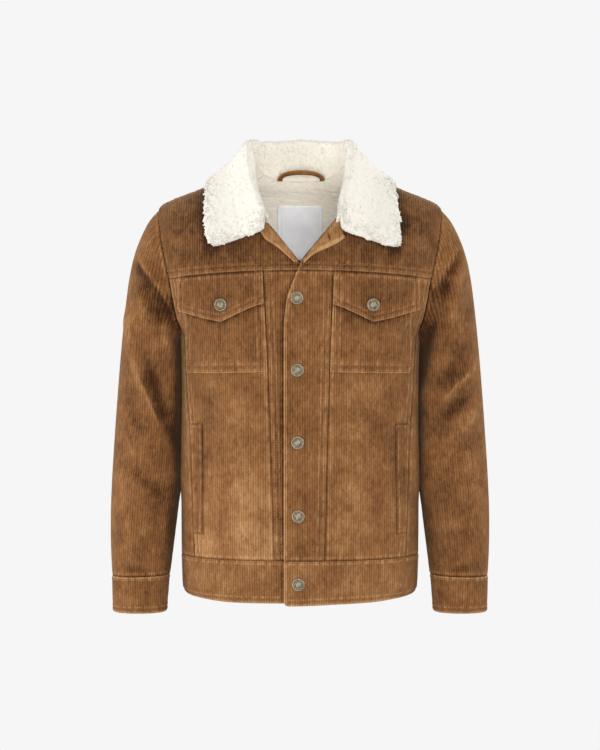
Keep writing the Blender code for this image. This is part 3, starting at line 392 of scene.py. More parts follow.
class Panel:
    # seams: for each edge its finish, and the distances of its lines of stitches from the edge
    # over: the cloth runs over the shoulder, and its ribs with it
    # shade: how much painted shade, and so how dark, each place is; below nothing it is painted light
    # ribs: how high the ribs stand against the plain cloth's
    def __init__(self, places, outs, grain, seams, seed=0, lift=0.0, over=False, thickness=cloth["thickness"],
                 shade=None, ribs=1.0, rowStep=None):
        self.seams, self.seed, self.thickness, self.shade, self.ribs = seams, seed, thickness, shade, ribs
        self.rowStep = rowStep or (cloth["armRowStep"] if grain == "arm" else cloth["rowStep"])
        places, outs = self.tucked(places + outs * np.asarray(lift)[..., None], outs)
        up = np.concatenate([np.zeros((1, places.shape[1])),
                             np.cumsum(np.linalg.norm(np.diff(places, axis=0), axis=-1), axis=0)])
        gap = cloth["seamGap"] / 2
        fractions = self.rowFractions(float(np.median(up[-1])))
        self.places = np.empty((len(fractions), places.shape[1], 3))
        self.outs = np.empty_like(self.places)
        self.low = np.empty((len(fractions), places.shape[1]))
        self.high = np.empty_like(self.low)
        for j in range(places.shape[1]):
            length = up[-1, j]
            at = gap + fractions * max(length - 2 * gap, 0.01)
            row = np.interp(at, up[:, j], np.arange(len(up)))
            for k in range(3):
                self.places[:, j, k] = np.interp(row, np.arange(len(up)), places[:, j, k])
                self.outs[:, j, k] = np.interp(row, np.arange(len(up)), outs[:, j, k])
            self.low[:, j], self.high[:, j] = at - self.tuck["low"], length - at - self.tuck["high"]
        self.outs = unit(self.outs)
        step = np.diff(self.places, axis=1)
        turned = 1.0
        if over:
            turned = np.clip((abs(self.outs[:, :-1, 0]) - 0.3) / 0.4, 0.0, 1.0)
        length = np.sqrt(step[..., 0] ** 2 + (turned * step[..., 1]) ** 2) + 1e-5
        across = np.concatenate([np.zeros((len(fractions), 1)), np.cumsum(length, axis=1)], axis=1)
        if grain == "first":
            across += self.places[:, :1, 0]
        elif grain == "last":
            across += self.places[:, -1:, 0] - across[:, -1:]
        elif grain == "even":
            across = np.broadcast_to(across[len(across) // 2], across.shape) + self.places[0, 0, 0]
        else:
            middle = across.shape[1] // 2
            across -= across[:, middle:middle + 1]
            if grain == "arm":
                across += self.armDrift(middle)[:, None]
        self.across = across

    def tucked(self, places, outs):
        # an edge that ends under its neighbour runs on a little way
        runs = {"under": cloth["tuck"], "rolled": cloth["rolled"]}
        self.tuck = {edge: runs.get(finish[0], 0.0) for edge, finish in self.seams.items()}
        edges = ("low", 0, True), ("high", 0, False), ("left", 1, True), ("right", 1, False)
        for edge, axis, first in edges:
            if not self.tuck[edge]:
                continue
            last, before = (np.take(places, [k if first else -1 - k], axis) for k in (0, 1))
            beyond = last + unit(last - before) * self.tuck[edge]
            out = np.take(outs, [0 if first else -1], axis)
            places = np.concatenate([beyond, places] if first else [places, beyond], axis)
            outs = np.concatenate([out, outs] if first else [outs, out], axis)
        return places, outs

    def armDrift(self, middle):
        # how far the middle line strays from the arm's own lean, so that the ribs run straight down the arm
        line = self.places[:, middle]
        ahead = unit((self.places[:, middle + 1] - self.places[:, middle - 1]) * [1.0, 1.0, 0.0])
        step = np.diff(line, axis=0)
        step[:, 0] += armLean * np.sign(line[0, 0]) * step[:, 2]
        return np.concatenate([[0.0], np.cumsum(np.sum(step * (ahead[1:] + ahead[:-1]) / 2, -1))])

    def rowFractions(self, length):
        # rows close together beside both ends, and further apart between them
        near = cloth["seamRow"]
        close = [0.0]
        while close[-1] < cloth["seamReach"] and close[-1] < length / 2:
            close.append(close[-1] + near)
            near = near * 1.03
        close = np.array([d for d in close if d < length / 2 - 0.3])
        rest = max(int((length - 2 * close[-1]) / self.rowStep), 1)
        between = np.linspace(close[-1], length - close[-1], rest + 1)[1:-1]
        return np.concatenate([close, between, (length - close)[::-1]]) / length

    def sample(self, r, at):
        # places, ways out and distances from the low and high edges where row r reaches the grain at
        s = np.interp(at, self.across[r], np.arange(self.across.shape[1]))
        i = np.minimum(s.astype(int), self.across.shape[1] - 2)
        t = s - i
        made = []
        for table in (self.places[r], self.outs[r]):
            made.append(table[i] * (1 - t)[:, None] + table[i + 1] * t[:, None])
        for table in (self.low[r], self.high[r]):
            made.append(table[i] * (1 - t) + table[i + 1] * t)
        return made

    def spot(self, row, at, out):
        # places on the finished cloth, for stitches: row and at are arrays
        made = np.empty((len(row), 3))
        ways = np.empty((len(row), 3))
        for n, (r, u) in enumerate(zip(row, at)):
            i = min(int(r), len(self.across) - 2)
            t = r - i
            low, lowOut, _, _ = self.sample(i, np.array([u]))
            high, highOut, _, _ = self.sample(i + 1, np.array([u]))
            ways[n] = unit(lowOut * (1 - t) + highOut * t)[0]
            made[n] = (low * (1 - t) + high * t)[0] + ways[n] * out
        return made, ways

    def stitchLines(self):
        # for each line of stitches its rows and places along the grain
        rows = np.arange(len(self.across), dtype=float)
        lines = []
        for edge, finish in self.seams.items():
            for d in finish[1:]:
                if edge in ("left", "right"):
                    column = 0 if edge == "left" else -1
                    sign = 1.0 if edge == "left" else -1.0
                    lines.append((rows, self.across[:, column] + sign * d))
                    continue
                table = self.low if edge == "low" else self.high
                count = int((self.across[-1, -1] - self.across[-1, 0]) / 3.0)
                shares = np.linspace(0.0, 1.0, max(count, 4))
                column = shares * (self.across.shape[1] - 1)
                at, found = [], []
                for c in column:
                    i = min(int(c), self.across.shape[1] - 2)
                    t = c - i
                    depth = table[:, i] * (1 - t) + table[:, i + 1] * t
                    row = np.interp(d, depth, rows) if edge == "low" else np.interp(-d, -depth, rows)
                    u = self.across[:, i] * (1 - t) + self.across[:, i + 1] * t
                    found.append(row)
                    at.append(np.interp(row, rows, u))
                lines.append((np.array(found), np.array(at)))
        return lines

    def relief(self, at, places, low, high, left, right):
        # how far the cloth's face stands out, how much lighter it is beside its seams, partly rubbed and
        # partly painted highlight, and how much painted shade lies along its seams and stitches
        wale = 0.5 - 0.5 * np.cos(2 * pi * at / cloth["wale"])
        rib = cloth["ribHeight"] * self.ribs * np.sqrt(wale)
        height = np.zeros_like(at)
        pressed = np.zeros_like(at)
        worn = np.zeros_like(at)
        dark = np.zeros_like(at)
        for n, (edge, finish) in enumerate(self.seams.items()):
            beside = {"left": left, "right": right, "low": low, "high": high}[edge]
            away = np.maximum(beside, 0.0)
            along = at if edge in ("low", "high") else places[..., 2]
            waves = seamPuckers(along, self.seed + 2.1 * n)
            kind, lines = finish[0], finish[1:]
            values = seamFinishes[kind]
            ridgeEnd = max(lines, default=2.0) + 1.5 if values["ridge"] else 0.0
            drop, spread = values["drop"]
            height -= drop * np.exp(-((away / spread) ** 2))
            ridge = values["ridge"] * (1 - smooth((away - ridgeEnd) / 2.5))
            height += ridge * (1 - 0.8 * np.exp(-away / 0.9))
            pucker, spread = values["pucker"]
            height += pucker * waves * np.exp(-abs(away - ridgeEnd) / spread)
            if kind == "under":
                height -= 1.2 * smooth(-beside / 0.8)
            elif kind == "rolled":
                height -= 2.0 * smooth((1.4 - beside) / 2.6)
            most, change, spread = values["dark"]
            dark = np.maximum(dark, (most + change * waves) * np.exp(-((away / spread) ** 2)))
            most, change, middle, spread = values["worn"]
            worn = np.maximum(worn, (most + change * waves) * np.exp(-((away - middle) / spread) ** 2))
            # each line of stitches sinks in a groove that is darker as painted shade, with a lighter band
            # beside it, partly rubbed and partly painted highlight
            for d in lines:
                groove = np.exp(-((away - d) / 0.8) ** 2)
                height -= 0.42 * groove * (1.0 + 0.5 * waves)
                pressed = np.maximum(pressed, groove)
                worn = np.maximum(worn, (0.45 + 0.42 * waves) * np.exp(-((away - d - 1.5) / 1.1) ** 2))
        return height + rib * (1 - 0.75 * pressed) - 0.35, worn, np.maximum(dark, 0.4 * pressed)

    def build(self, name, folds=None, slotName="corduroy"):
        rowCount = len(self.across)
        pitch = cloth["wale"] / cloth["samples"]
        gap = cloth["seamGap"] / 2
        left, right = self.across[:, 0] + gap, self.across[:, -1] - gap
        first, last = int(np.floor(left.min() / pitch)) - 1, int(np.ceil(right.max() / pitch)) + 1
        grains = np.arange(first, last + 1) * pitch
        count = len(grains)
        points = np.empty((rowCount, count, 3))
        uv = np.empty((rowCount, count, 2))
        marks = np.empty((rowCount, count, 2))
        keep = np.empty((rowCount, count), int)
        for r in range(rowCount):
            inside = np.where((grains > left[r] + pitch * 0.3) & (grains < right[r] - pitch * 0.3))[0]
            at = np.clip(grains, left[r], right[r])
            lowest, highest = (inside[0] - 1, inside[-1] + 1) if len(inside) else (count // 2, count // 2 + 1)
            at[:lowest + 1], at[highest:] = left[r], right[r]
            keep[r] = np.clip(np.arange(count), lowest, highest)
            places, outs, low, high = self.sample(r, at)
            edges = at - left[r] + gap - self.tuck["left"], right[r] - at + gap - self.tuck["right"]
            height, worn, dark = self.relief(at, places, low, high, *edges)
            if folds is not None:
                fold = folds(places, at, low, high)
                height = height + fold
                # folds: lighter on the ridges, partly wear and partly painted highlight, and painted shade in
                # the troughs
                worn = worn + cloth["ridgeWearAndLight"] * np.maximum(fold, 0.0)
                dark = dark + cloth["troughDark"] * np.maximum(-fold, 0.0)
            # the panel's own painted shade, and painted light where it is below nothing
            if self.shade is not None:
                dark = dark + self.shade(places, low, high)
            points[r] = places + outs * height[:, None]
            uv[r, :, 0], uv[r, :, 1] = at, low
            marks[r, :, 0], marks[r, :, 1] = worn, dark
        ids = np.arange(rowCount)[:, None] * count + keep
        a, b, c, d = ids[:-1, :-1].ravel(), ids[:-1, 1:].ravel(), ids[1:, 1:].ravel(), ids[1:, :-1].ravel()
        corners = np.stack([a, b, c, d], 1)
        faces = []
        whole = (a != b) & (b != c) & (c != d) & (d != a)
        faces += corners[whole].tolist()
        for quad in corners[~whole].tolist():
            short = list(dict.fromkeys(quad))
            if len(short) == 3:
                faces.append(short)
        # the plain inside, coarser
        innerRows = sorted(set(list(range(0, rowCount, 3)) + [rowCount - 1]))
        width = float((right - left).max())
        shares = np.linspace(0.0, 1.0, max(int(width / 9.0), 2) + 1)
        innerPoints, innerUv = [], []
        for r in innerRows:
            at = mix(left[r], right[r], shares)
            places, outs, low, high = self.sample(r, at)
            depth = -self.thickness + (folds(places, at, low, high) if folds is not None else 0.0)
            innerPoints.append(places + outs * (depth * np.ones(len(at)))[:, None])
            innerUv.append(np.stack([at, low], -1))
        base = rowCount * count
        wide = len(shares)
        for i in range(len(innerRows) - 1):
            for j in range(wide - 1):
                k = base + i * wide + j
                faces.append([k, k + wide, k + wide + 1, k + 1])
        points = np.concatenate([points.reshape(-1, 3), np.array(innerPoints).reshape(-1, 3)])
        uv = np.concatenate([uv.reshape(-1, 2), np.array(innerUv).reshape(-1, 2)])
        marks = np.concatenate([marks.reshape(-1, 2), np.zeros((len(innerPoints) * wide, 2))])
        inner = base + np.arange(len(innerRows) * wide).reshape(len(innerRows), wide)
        sides = [
            (list(dict.fromkeys(ids[0])), list(inner[0])),
            (list(ids[:, -1]), list(inner[:, -1])),
            (list(dict.fromkeys(ids[-1]))[::-1], list(inner[-1])[::-1]),
            (list(ids[:, 0])[::-1], list(inner[:, 0])[::-1]),
        ]
        for outerLine, innerLine in sides:
            faces += zipped(points, outerLine, innerLine)
        return meshPiece(name, points, faces, uv, marks, slotName)


def zipped(points, outerLine, innerLine):
    # triangles between two lines of points that start and end together
    def lengths(line):
        steps = np.linalg.norm(np.diff(points[line], axis=0), axis=1)
        run = np.concatenate([[0.0], np.cumsum(steps)])
        return run / max(run[-1], 1e-9)

    a, b = lengths(outerLine), lengths(innerLine)
    i = j = 0
    faces = []
    while i < len(a) - 1 or j < len(b) - 1:
        if j == len(b) - 1 or (i < len(a) - 1 and a[i + 1] <= b[j + 1]):
            faces.append([outerLine[i + 1], outerLine[i], innerLine[j]])
            i += 1
        else:
            faces.append([outerLine[i], innerLine[j], innerLine[j + 1]])
            j += 1
    return faces


def meshPiece(name, points, faces, uv=None, marks=None, slotName="corduroy"):
    used = np.unique(np.concatenate([np.array(f) for f in faces]))
    renumber = np.full(len(points), -1)
    renumber[used] = np.arange(len(used))
    sizes = np.array([len(f) for f in faces])
    corners = renumber[np.concatenate([np.array(f) for f in faces])]
    mesh = bpy.data.meshes.new(name)
    mesh.vertices.add(len(used))
    mesh.vertices.foreach_set("co", (points[used] * mm).astype(np.float32).ravel())
    mesh.loops.add(len(corners))
    mesh.loops.foreach_set("vertex_index", corners.astype(np.int32))
    mesh.polygons.add(len(faces))
    mesh.polygons.foreach_set("loop_start", np.concatenate([[0], np.cumsum(sizes)[:-1]]).astype(np.int32))
    if uv is not None:
        layer = mesh.uv_layers.new(name="grain")
        layer.data.foreach_set("uv", (uv[used][corners] * mm).astype(np.float32).ravel())
    # the marks that the paint reads: the first lightens, partly as rubbed wear and partly as painted
    # highlight on raised edges, fold ridges and the pile's tufts; the second is painted shade, and painted
    # light where it is below nothing
    if marks is not None:
        for k, mark in enumerate(("worn", "paintedShade")):
            made = mesh.attributes.new(mark, "FLOAT", "POINT")
            made.data.foreach_set("value", marks[used, k].astype(np.float32))
    mesh.update(calc_edges=True)
    mesh.validate()
    mesh.shade_smooth()
    piece = bpy.data.objects.new(name, mesh)
    bpy.context.scene.collection.objects.link(piece)
    piece["slotName"] = slotName
    return piece


print("surfaces ready")

# The body's panels
def spread(lowPhi, highPhi, levels, columns):
    # (phi, v) tables between two edges
    shares = np.linspace(0.0, 1.0, columns)
    phi = mix(np.asarray(lowPhi)[:, None], np.asarray(highPhi)[:, None], shares[None, :])
    return phi, np.broadcast_to(np.asarray(levels, float)[:, None], phi.shape)


def overlapShadow(places, low, high):
    # painted shadow beside the edge that lies over the right front
    away = table(outerEdge, places[..., 2]) - places[..., 0]
    return np.where((away > 0.3) & (places[..., 1] < 0), 1.3 * np.exp(-np.maximum(away, 0.0) / 3.6), 0.0)


def paintedShadeAboveLightBelow(side):
    # painted light and shade: the fronts' side panels darker above and lighter low down, the right one more
    most = 0.1 if side > 0 else 0.5

    def shade(places, low, high):
        return 0.12 - most * smooth((-places[..., 2] - 350.0) / 110.0)
    return shade


def underCollar(places, low, high):
    # the collar's shadow on the shoulders, in front of and behind its free edge
    away = np.linalg.norm(places[:, None, :] - leafEdge[None, ::5], axis=-1).min(1)
    return 1.6 * np.exp(-((away / 10.5) ** 2))


def rightYokeShade(places, low, high):
    return np.maximum(overlapShadow(places, low, high), underCollar(places, low, high))


def bodyPanel(phi, v, grain, seams, seed, outer=False, shade=None):
    places = bodyBase(phi, v)
    return Panel(places, bodyNormal(phi, v), grain, seams, seed, liftOver(places, outer), shade=shade)


def withBodyFolds(places, at, low, high):
    return bodyFoldHeight(places)


lowerLevels = np.linspace(bandRing, yokeRing, 120)
stitch = {"edge": 2.2, "second": 8.4, "hem": 6.5}
twoRows = stitch["edge"], stitch["second"]
under, hem = ("under",), ("free", stitch["hem"])
freeEdge, overEdge = ("free", stitch["edge"]), ("over", stitch["edge"])
freeTwice, softTwice, overTwice = ("free", *twoRows), ("soft", *twoRows), ("over", *twoRows)
allUnder = {"left": under, "right": under, "low": under, "high": under}
panels = {}


def sided(side, inner, outer, **others):
    # the finish of the edges nearest to and furthest from the centre front, and of the low and high ones
    left, right = (inner, outer) if side > 0 else (outer, inner)
    return {"left": left, "right": right, **others}


def towardsLeft(side, *grids):
    # one side's columns turned round, so that both sides' run towards the wearer's left
    return grids if side > 0 else [grid[:, ::-1] for grid in grids]


def makeFront(side):
    tag = "left" if side > 0 else "right"
    outer = side > 0
    share = (lowerLevels - bandRing) / (yokeRing - bandRing)
    top, low = frontSeams[side]
    seamPhi = phiAtX(mix(low, top, share), lowerLevels)
    edge = edgePhi(lowerLevels, outer)
    end = side * panelEnd(lowerLevels)
    centre = spread(*(edge, seamPhi)[::side], lowerLevels, 60)
    beside = spread(*(seamPhi, end)[::side], lowerLevels, 110)
    centreSeams = sided(side, freeEdge, softTwice, low=under, high=under)
    besideSeams = sided(side, under, overTwice, low=under, high=under)
    grain = "first" if side > 0 else "last"
    shade = None if outer else overlapShadow
    panels[f"front_centre_{tag}"] = bodyPanel(*centre, grain, centreSeams, 1.0 + side, outer, shade)
    panels[f"front_side_{tag}"] = bodyPanel(*beside, grain, besideSeams, 3.0 + side, outer, paintedShadeAboveLightBelow(side))


def yokeAxis(x):
    # the height of the line from which the shoulder's surface is seen at x
    return -160.0 + 65.0 * smooth((abs(x) - 140.0) / 48.0)


def upperBodyTree():
    phis = np.linspace(0.0, 360.0, 481)[:-1]
    levels = np.linspace(armpitRing, neckRing, 150)
    phi, v = np.meshgrid(phis, levels)
    places = bodyBase(phi, v)
    count = len(phis)
    faces = []
    for i in range(len(levels) - 1):
        for j in range(count):
            k = (j + 1) % count
            faces.append((i * count + j, i * count + k, (i + 1) * count + k, (i + 1) * count + j))
    return BVHTree.FromPolygons(places.reshape(-1, 3).tolist(), faces)


def turnOf(places):
    # the angle of places round the yoke's axis: 0 in front, 90 on top, 180 behind
    y, z = places[..., 1], places[..., 2] - yokeAxis(places[..., 0])
    turn = np.degrees(np.arctan2(z, -y))
    return np.where(turn < -90.0, turn + 360.0, turn)


def yokeEdges(back):
    # x against angle for the yoke's lower edge with the armhole, and its upper edge with the neckline
    levels = np.linspace(yokeRing, shoulderRing, 60)
    armPhi = armholePhi(levels, back)
    foot = np.linspace(180.0 if back else 0.0, float(armPhi[0]), 90)
    lowLine = np.concatenate([bodyBase(foot, yokeRing), bodyBase(armPhi, levels)[1:]])
    top = np.linspace(shoulderRing, neckRing, 80)
    seam = bodyBase(shoulderSeam(top), top)
    neckPhi = np.linspace(float(shoulderSeam(neckRing)), 180.0 if back else 0.0, 90)
    highLine = np.concatenate([seam, bodyBase(neckPhi, neckRing)[1:]])[::-1]
    lines = []
    for line in (lowLine, highLine):
        x = np.maximum.accumulate(line[:, 0] + np.arange(len(line)) * 1e-6)
        lines.append((x, turnOf(line)))
    return lines


def makeYoke(side, tree):
    # side: 1 and -1 for the fronts and 0 for the back
    back = side == 0
    (lowX, lowTurn), (highX, highTurn) = yokeEdges(back)
    right = 187.4
    shares = np.linspace(0.0, 1.0, 34)
    if back:
        xs = np.broadcast_to(np.linspace(right, -right, 260), (len(shares), 260))
    else:
        levels = mix(yokeRing, neckRing, shares)
        inner = bodyBase(edgePhi(levels, side > 0), levels)[:, 0]
        xs = mix(inner[:, None], side * right, np.linspace(0.0, 1.0, 140)[None, :])
        if side < 0:
            xs = xs[:, ::-1]
    low = np.interp(abs(xs), lowX, lowTurn)
    high = np.interp(abs(xs), highX, highTurn)
    if not back:
        crossed = xs * side < 0
        low = np.where(crossed, lowTurn[0], low)
        high = np.where(crossed, highTurn[0], high)
    turn = np.radians(mix(low, high, shares[:, None]))
    places = np.empty(xs.shape + (3,))
    outs = np.empty_like(places)
    for j in range(xs.shape[1]):
        reach = 110.0
        for i in range(xs.shape[0]):
            x = float(xs[i, j])
            start = Vector((x, 0.0, float(yokeAxis(x))))
            way = Vector((0.0, -cos(turn[i, j]), sin(turn[i, j])))
            spot, normal, _, distance = tree.ray_cast(start, way)
            if spot is None:
                spot, normal, _, _ = tree.find_nearest(start + way * reach)
            else:
                reach = distance
            places[i, j] = spot
            outs[i, j] = normal if normal.dot(way) > 0 else -normal
    down = np.gradient(places, axis=0)
    along = np.gradient(places, axis=1)
    smoothOut = unit(np.cross(along, down))
    outs = np.where((np.sum(smoothOut * outs, -1) < 0)[..., None], -smoothOut, smoothOut)
    if back:
        seams = {"low": overTwice, "high": overEdge, "left": overTwice, "right": overTwice}
        panels["back_yoke"] = Panel(places, outs, "middle", seams, 9.0, 0.0, True, shade=underCollar)
        return
    tag = "left" if side > 0 else "right"
    armSide, centreSide = ("right", "left") if side > 0 else ("left", "right")
    seams = {"low": overTwice, "high": under, armSide: overTwice, centreSide: freeEdge}
    grain = "first" if side > 0 else "last"
    lift = liftOver(places, side > 0)
    shade = underCollar if side > 0 else rightYokeShade
    panels[f"front_yoke_{tag}"] = Panel(places, outs, grain, seams, 5.0 + side, lift, True, shade=shade)


def makeSidePanel(side):
    shares, ts = np.linspace(0.0, 1.0, 60), np.linspace(0.0, 1.0, 100)
    topPhi, topV = armhole(mix(sideSeamAngle, 360.0 - sideSeamAngle, shares))
    v = mix(bandRing, topV[None, :], ts[:, None])
    phi = mix(sideSeamPhi(v), sideSeamPhi(v, True), shares[None, :])
    atTop = mix(sideSeamPhi(topV), sideSeamPhi(topV, True), shares)
    phi = phi + (topPhi - atTop)[None, :] * smooth(ts)[:, None]
    if side < 0:
        phi, v = -phi[:, ::-1], v[:, ::-1]
    panels[f"side_panel_{'left' if side > 0 else 'right'}"] = bodyPanel(phi, v, "middle", allUnder, 7.0)


def makeBack():
    end = panelEnd(lowerLevels, True)
    seams = {**allUnder, "left": overTwice, "right": overTwice}
    panels["back_panel"] = bodyPanel(*spread(end, 360.0 - end, lowerLevels, 220), "middle", seams, 8.0)


band = {
    # tall: from hem to seam; toDegree: millimetres to a degree round the body
    "tall": 55.0, "toDegree": 1.75,
    "drawnIn": 5.0, "drop": 1.2, "corner": 4.5, "rise": 2.6, "rows": 24, "columns": 560,
}


def makeBand():
    levels = np.linspace(hemRing, bandRing, band["rows"])
    start, end = float(edgePhi(np.array(1.0), True)), 360.0 + float(edgePhi(np.array(1.0), False))
    phi, v = spread(np.full(len(levels), start), np.full(len(levels), end), levels, band["columns"])
    places, outs = bodyBase(phi, v), bodyNormal(phi, v)
    lift = np.where(phi < 90.0, liftOver(places, True), 0.0)
    low = (v - hemRing) * band["tall"]
    atSides = smooth((abs(places[..., 0]) - 92.0) / 42.0)
    lift = lift - band["drawnIn"] * atSides * np.clip(1 - low / 15.0, 0, 1) ** 2
    fromStart, fromEnd = (phi - start) * band["toDegree"], (end - phi) * band["toDegree"]
    places[..., 2] -= band["drop"] * (1 - v) * smooth((40.0 - fromStart) / 40.0)
    corner = np.clip(1 - fromStart / band["corner"], 0.0, 1.0)
    places[..., 2] += band["corner"] * (1 - np.sqrt(1 - corner ** 2)) * np.clip(1 - v, 0.0, 1.0) ** 3
    places[..., 2] += band["rise"] * (1 - v) * smooth((90.0 - fromEnd) / 90.0)
    seams = {"low": hem, "high": ("soft", stitch["edge"]), "left": freeEdge, "right": freeEdge}
    panels["waistband"] = Panel(places, outs, "even", seams, 10.0, lift, shade=overlapShadow)


for side in (1, -1):
    makeFront(side)
    makeSidePanel(side)
makeBack()
makeBand()
upperBody = upperBodyTree()
for side in (1, -1, 0):
    makeYoke(side, upperBody)
print("body panels laid out")


# Sleeves: sections from the armhole down, as inner x, inner z, outer x, outer z, half depth and y
sleeveRings = [
    (158.5, -238.0, 203.0, -77.0, 50.0, 0.0),
    (159.0, -244.0, 218.5, -112.0, 53.0, 1.0),
    (158.4, -254.0, 227.5, -150.0, 54.0, 2.0),
    (157.2, -270.0, 234.0, -200.0, 53.0, 3.0),
    (156.6, -296.0, 239.5, -254.0, 51.0, 4.0),
    (156.8, -332.0, 244.0, -310.0, 49.0, 3.0),
    (157.6, -376.0, 248.0, -366.0, 47.0, 1.0),
    (159.2, -420.0, 251.0, -418.0, 45.0, -3.0),
    (163.5, -463.0, 252.5, -465.0, 43.0, -7.0),
    (168.5, -504.0, 252.0, -506.0, 40.0, -11.0),
    (173.0, -541.0, 250.0, -543.0, 36.5, -15.0),
]
cuffRings = [
    (173.8, -541.3, 250.0, -543.3, 36.5, -15.0),
    (175.5, -565.3, 249.7, -566.3, 35.5, -17.0),
    (177.5, -590.3, 248.7, -590.3, 34.5, -19.0),
]
sleeveSquareness = 2.25


def sectionPoint(ring, angle):
    innerX, innerZ, outerX, outerZ, halfDepth, y = ring
    s, c = np.sin(np.radians(angle)), np.cos(np.radians(angle))
    corner = (abs(s) ** sleeveSquareness + abs(c) ** sleeveSquareness) ** (-1.0 / sleeveSquareness)
    x = (innerX + outerX) / 2 + (outerX - innerX) / 2 * corner * c
    z = (innerZ + outerZ) / 2 + (outerZ - innerZ) / 2 * corner * c
    return np.stack([x, y - halfDepth * corner * s, z], -1)


def sleeveBase(angle, t):
    angle, t = np.broadcast_arrays(np.asarray(angle, float), np.asarray(t, float))
    rows = [bodyBase(*armhole(angle))] + [sectionPoint(ring, angle) for ring in sleeveRings]
    return rowsAt(np.stack(rows), t)


def sleeveNormal(angle, t):
    around = sleeveBase(angle + 2.0, t) - sleeveBase(angle - 2.0, t)
    down = sleeveBase(angle, t + 0.1) - sleeveBase(angle, t - 0.1)
    return unit(np.cross(around, down))


def clearOfArmhole(angle):
    # the small step from the armhole's edge to where the sleeve starts
    edge, normal = bodyBase(*armhole(angle)), bodyNormal(*armhole(angle))
    inward = unit(np.cross(normal, bodyBase(*armhole(angle + 2.0)) - bodyBase(*armhole(angle - 2.0))))
    centre = (bodyBase(*armhole(90.0)) + bodyBase(*armhole(270.0))) / 2
    sign = np.sign(np.sum(inward * (centre - edge), -1))[..., None]
    return (inward * sign + normal * 0.6) * cloth["seamGap"]


sleeveShade = {
    # side: how dark beside the armhole, and along the arm beside the body above and below the elbow
    1: (1.1, 1.4, 0.8),
    -1: (1.4, 1.9, 1.6),
}


def makeSleeve(side, panel, first, last):
    tag = "left" if side > 0 else "right"
    innerLine = np.array([(-row[1], row[0]) for row in sleeveRings])
    atSeam, above, below = sleeveShade[side]

    def besideBody(places, low, high):
        # painted shade beside the armhole and along the arm where it lies against the body; on the front,
        # painted shadow in the creases' hollows and painted highlight along their edges
        x, y, z = abs(places[..., 0]), places[..., 1], places[..., 2]
        fromInner = np.maximum(x - table(innerLine, -z), 0.0)
        near = np.exp(-((fromInner / 10.0) ** 2)) * smooth((-z - 205.0) / 45.0)
        strip = near * mix(above, below, smooth((-z - 300.0) / 120.0)) * smooth((560.0 + z) / 70.0)
        seam = atSeam * np.exp(-((high / 13.0) ** 2)) * smooth((-z - 150.0) / 40.0)
        dark, worn, _ = creaseParts(sleeveCreases[side], x, z)
        ahead = smooth((0.0 - y) / 16.0)
        paintedShade = np.maximum(strip, seam) * smooth((45.0 - y) / 40.0)
        return np.maximum(paintedShade, dark * ahead) - 1.2 * worn * ahead

    top = len(sleeveRings)
    levels = np.concatenate([[0.0, 0.06, 0.14, 0.24, 0.36], np.linspace(0.5, top, 120)])[::-1]
    angles = np.linspace(first, last, int((last - first) / 1.5) + 1)
    angle, t = np.meshgrid(angles, levels)
    places, outs = sleeveBase(angle, t), sleeveNormal(angle, np.maximum(t, 0.12))
    places += clearOfArmhole(angle) * (1 - smooth(t / 0.3))[..., None]
    places[..., 0] *= side
    outs[..., 0] *= side
    places, outs = towardsLeft(-side, places, outs)
    panels[f"{panel}_{tag}"] = Panel(places, outs, "arm", allUnder, 11.0 + side + first / 90.0,
                                     shade=besideBody, ribs=0.75)


def withSleeveFolds(side):
    def height(places, at, low, high):
        x, y, z = abs(places[..., 0]), places[..., 1], places[..., 2]
        front, back = sleeveFolds[(side, "front")], sleeveFolds[(side, "back")]
        share = smooth(high / 34.0)
        middle = -2.0
        swell = 1.6 * smooth((-z - 226.0) / 26.0) * smooth((456.0 + z) / 50.0) * smooth((180.0 - x) / 14.0)
        swell = swell - creaseParts(sleeveCreases[side], x, z)[2] * smooth((0.0 - y) / 16.0)
        ahead = foldHeight(front, x, z) * smooth((middle - y) / 22.0)
        behind = foldHeight(back, x, z) * smooth((y - middle) / 22.0)
        return share * (swell + np.where(y < middle, ahead, behind))
    return height


def makeCuff(side):
    tag = "left" if side > 0 else "right"
    angle, t = np.meshgrid(np.linspace(-180.0, 180.0, 220), np.linspace(2.0, 0.0, 24))
    rings = np.stack([sectionPoint(ring, angle) for ring in cuffRings])
    places = rowsAt(rings, t)
    around = rowsAt(np.stack([sectionPoint(ring, angle + 2.0) for ring in cuffRings]), t) - places
    outs = unit(np.cross(around, [0.0, 0.0, -1.0]))
    places[..., 0] *= side
    outs[..., 0] *= side
    places, outs = towardsLeft(-side, places, outs)
    seams = {**allUnder, "low": hem, "high": overEdge}
    panels[f"cuff_{tag}"] = Panel(places, outs, "middle", seams, 15.0 + side)


for side in (1, -1):
    makeSleeve(side, "sleeve", -60.0, 180.0)
    makeSleeve(side, "under_sleeve", 180.0, 300.0)
    makeCuff(side)
print("sleeves laid out")

# What lies on the fronts
pocket = {"out": 2.6, "thickness": 2.0, "top": -165.0, "lowInner": -269.8, "lowOuter": -273.2, "seconds": 9.4}
flap = {"out": 5.3, "thickness": 2.0, "topClear": 0.8, "spring": 1.8, "sink": 2.6, "columns": 110}
welt = {"out": 2.6, "thickness": 2.0, "top": -339.0, "low": -483.0, "columns": 16}
pocketEdge = {
    # z, x
    1: [(-515.0, 125.5), (-330.0, 126.5), (-273.0, 142.0), (-140.0, 147.0)],
    -1: [(-515.0, 125.5), (-330.0, 129.0), (-273.0, 145.5), (-140.0, 152.0)],
}
flapShare = [(-515.0, 0.93), (-300.0, 0.93), (-215.0, 0.4), (-140.0, 0.28)]   # z, share of the way to the end
flapOutline = [
    # x from the buttons' line, z of the lower edge
    (44.0, -181.5),
    (60.0, -187.0),
    (80.0, -196.0),
    (98.0, -204.5),
    (120.0, -199.5),
    (140.0, -193.5),
    (162.0, -187.0),
]
buttonLine = -4.0


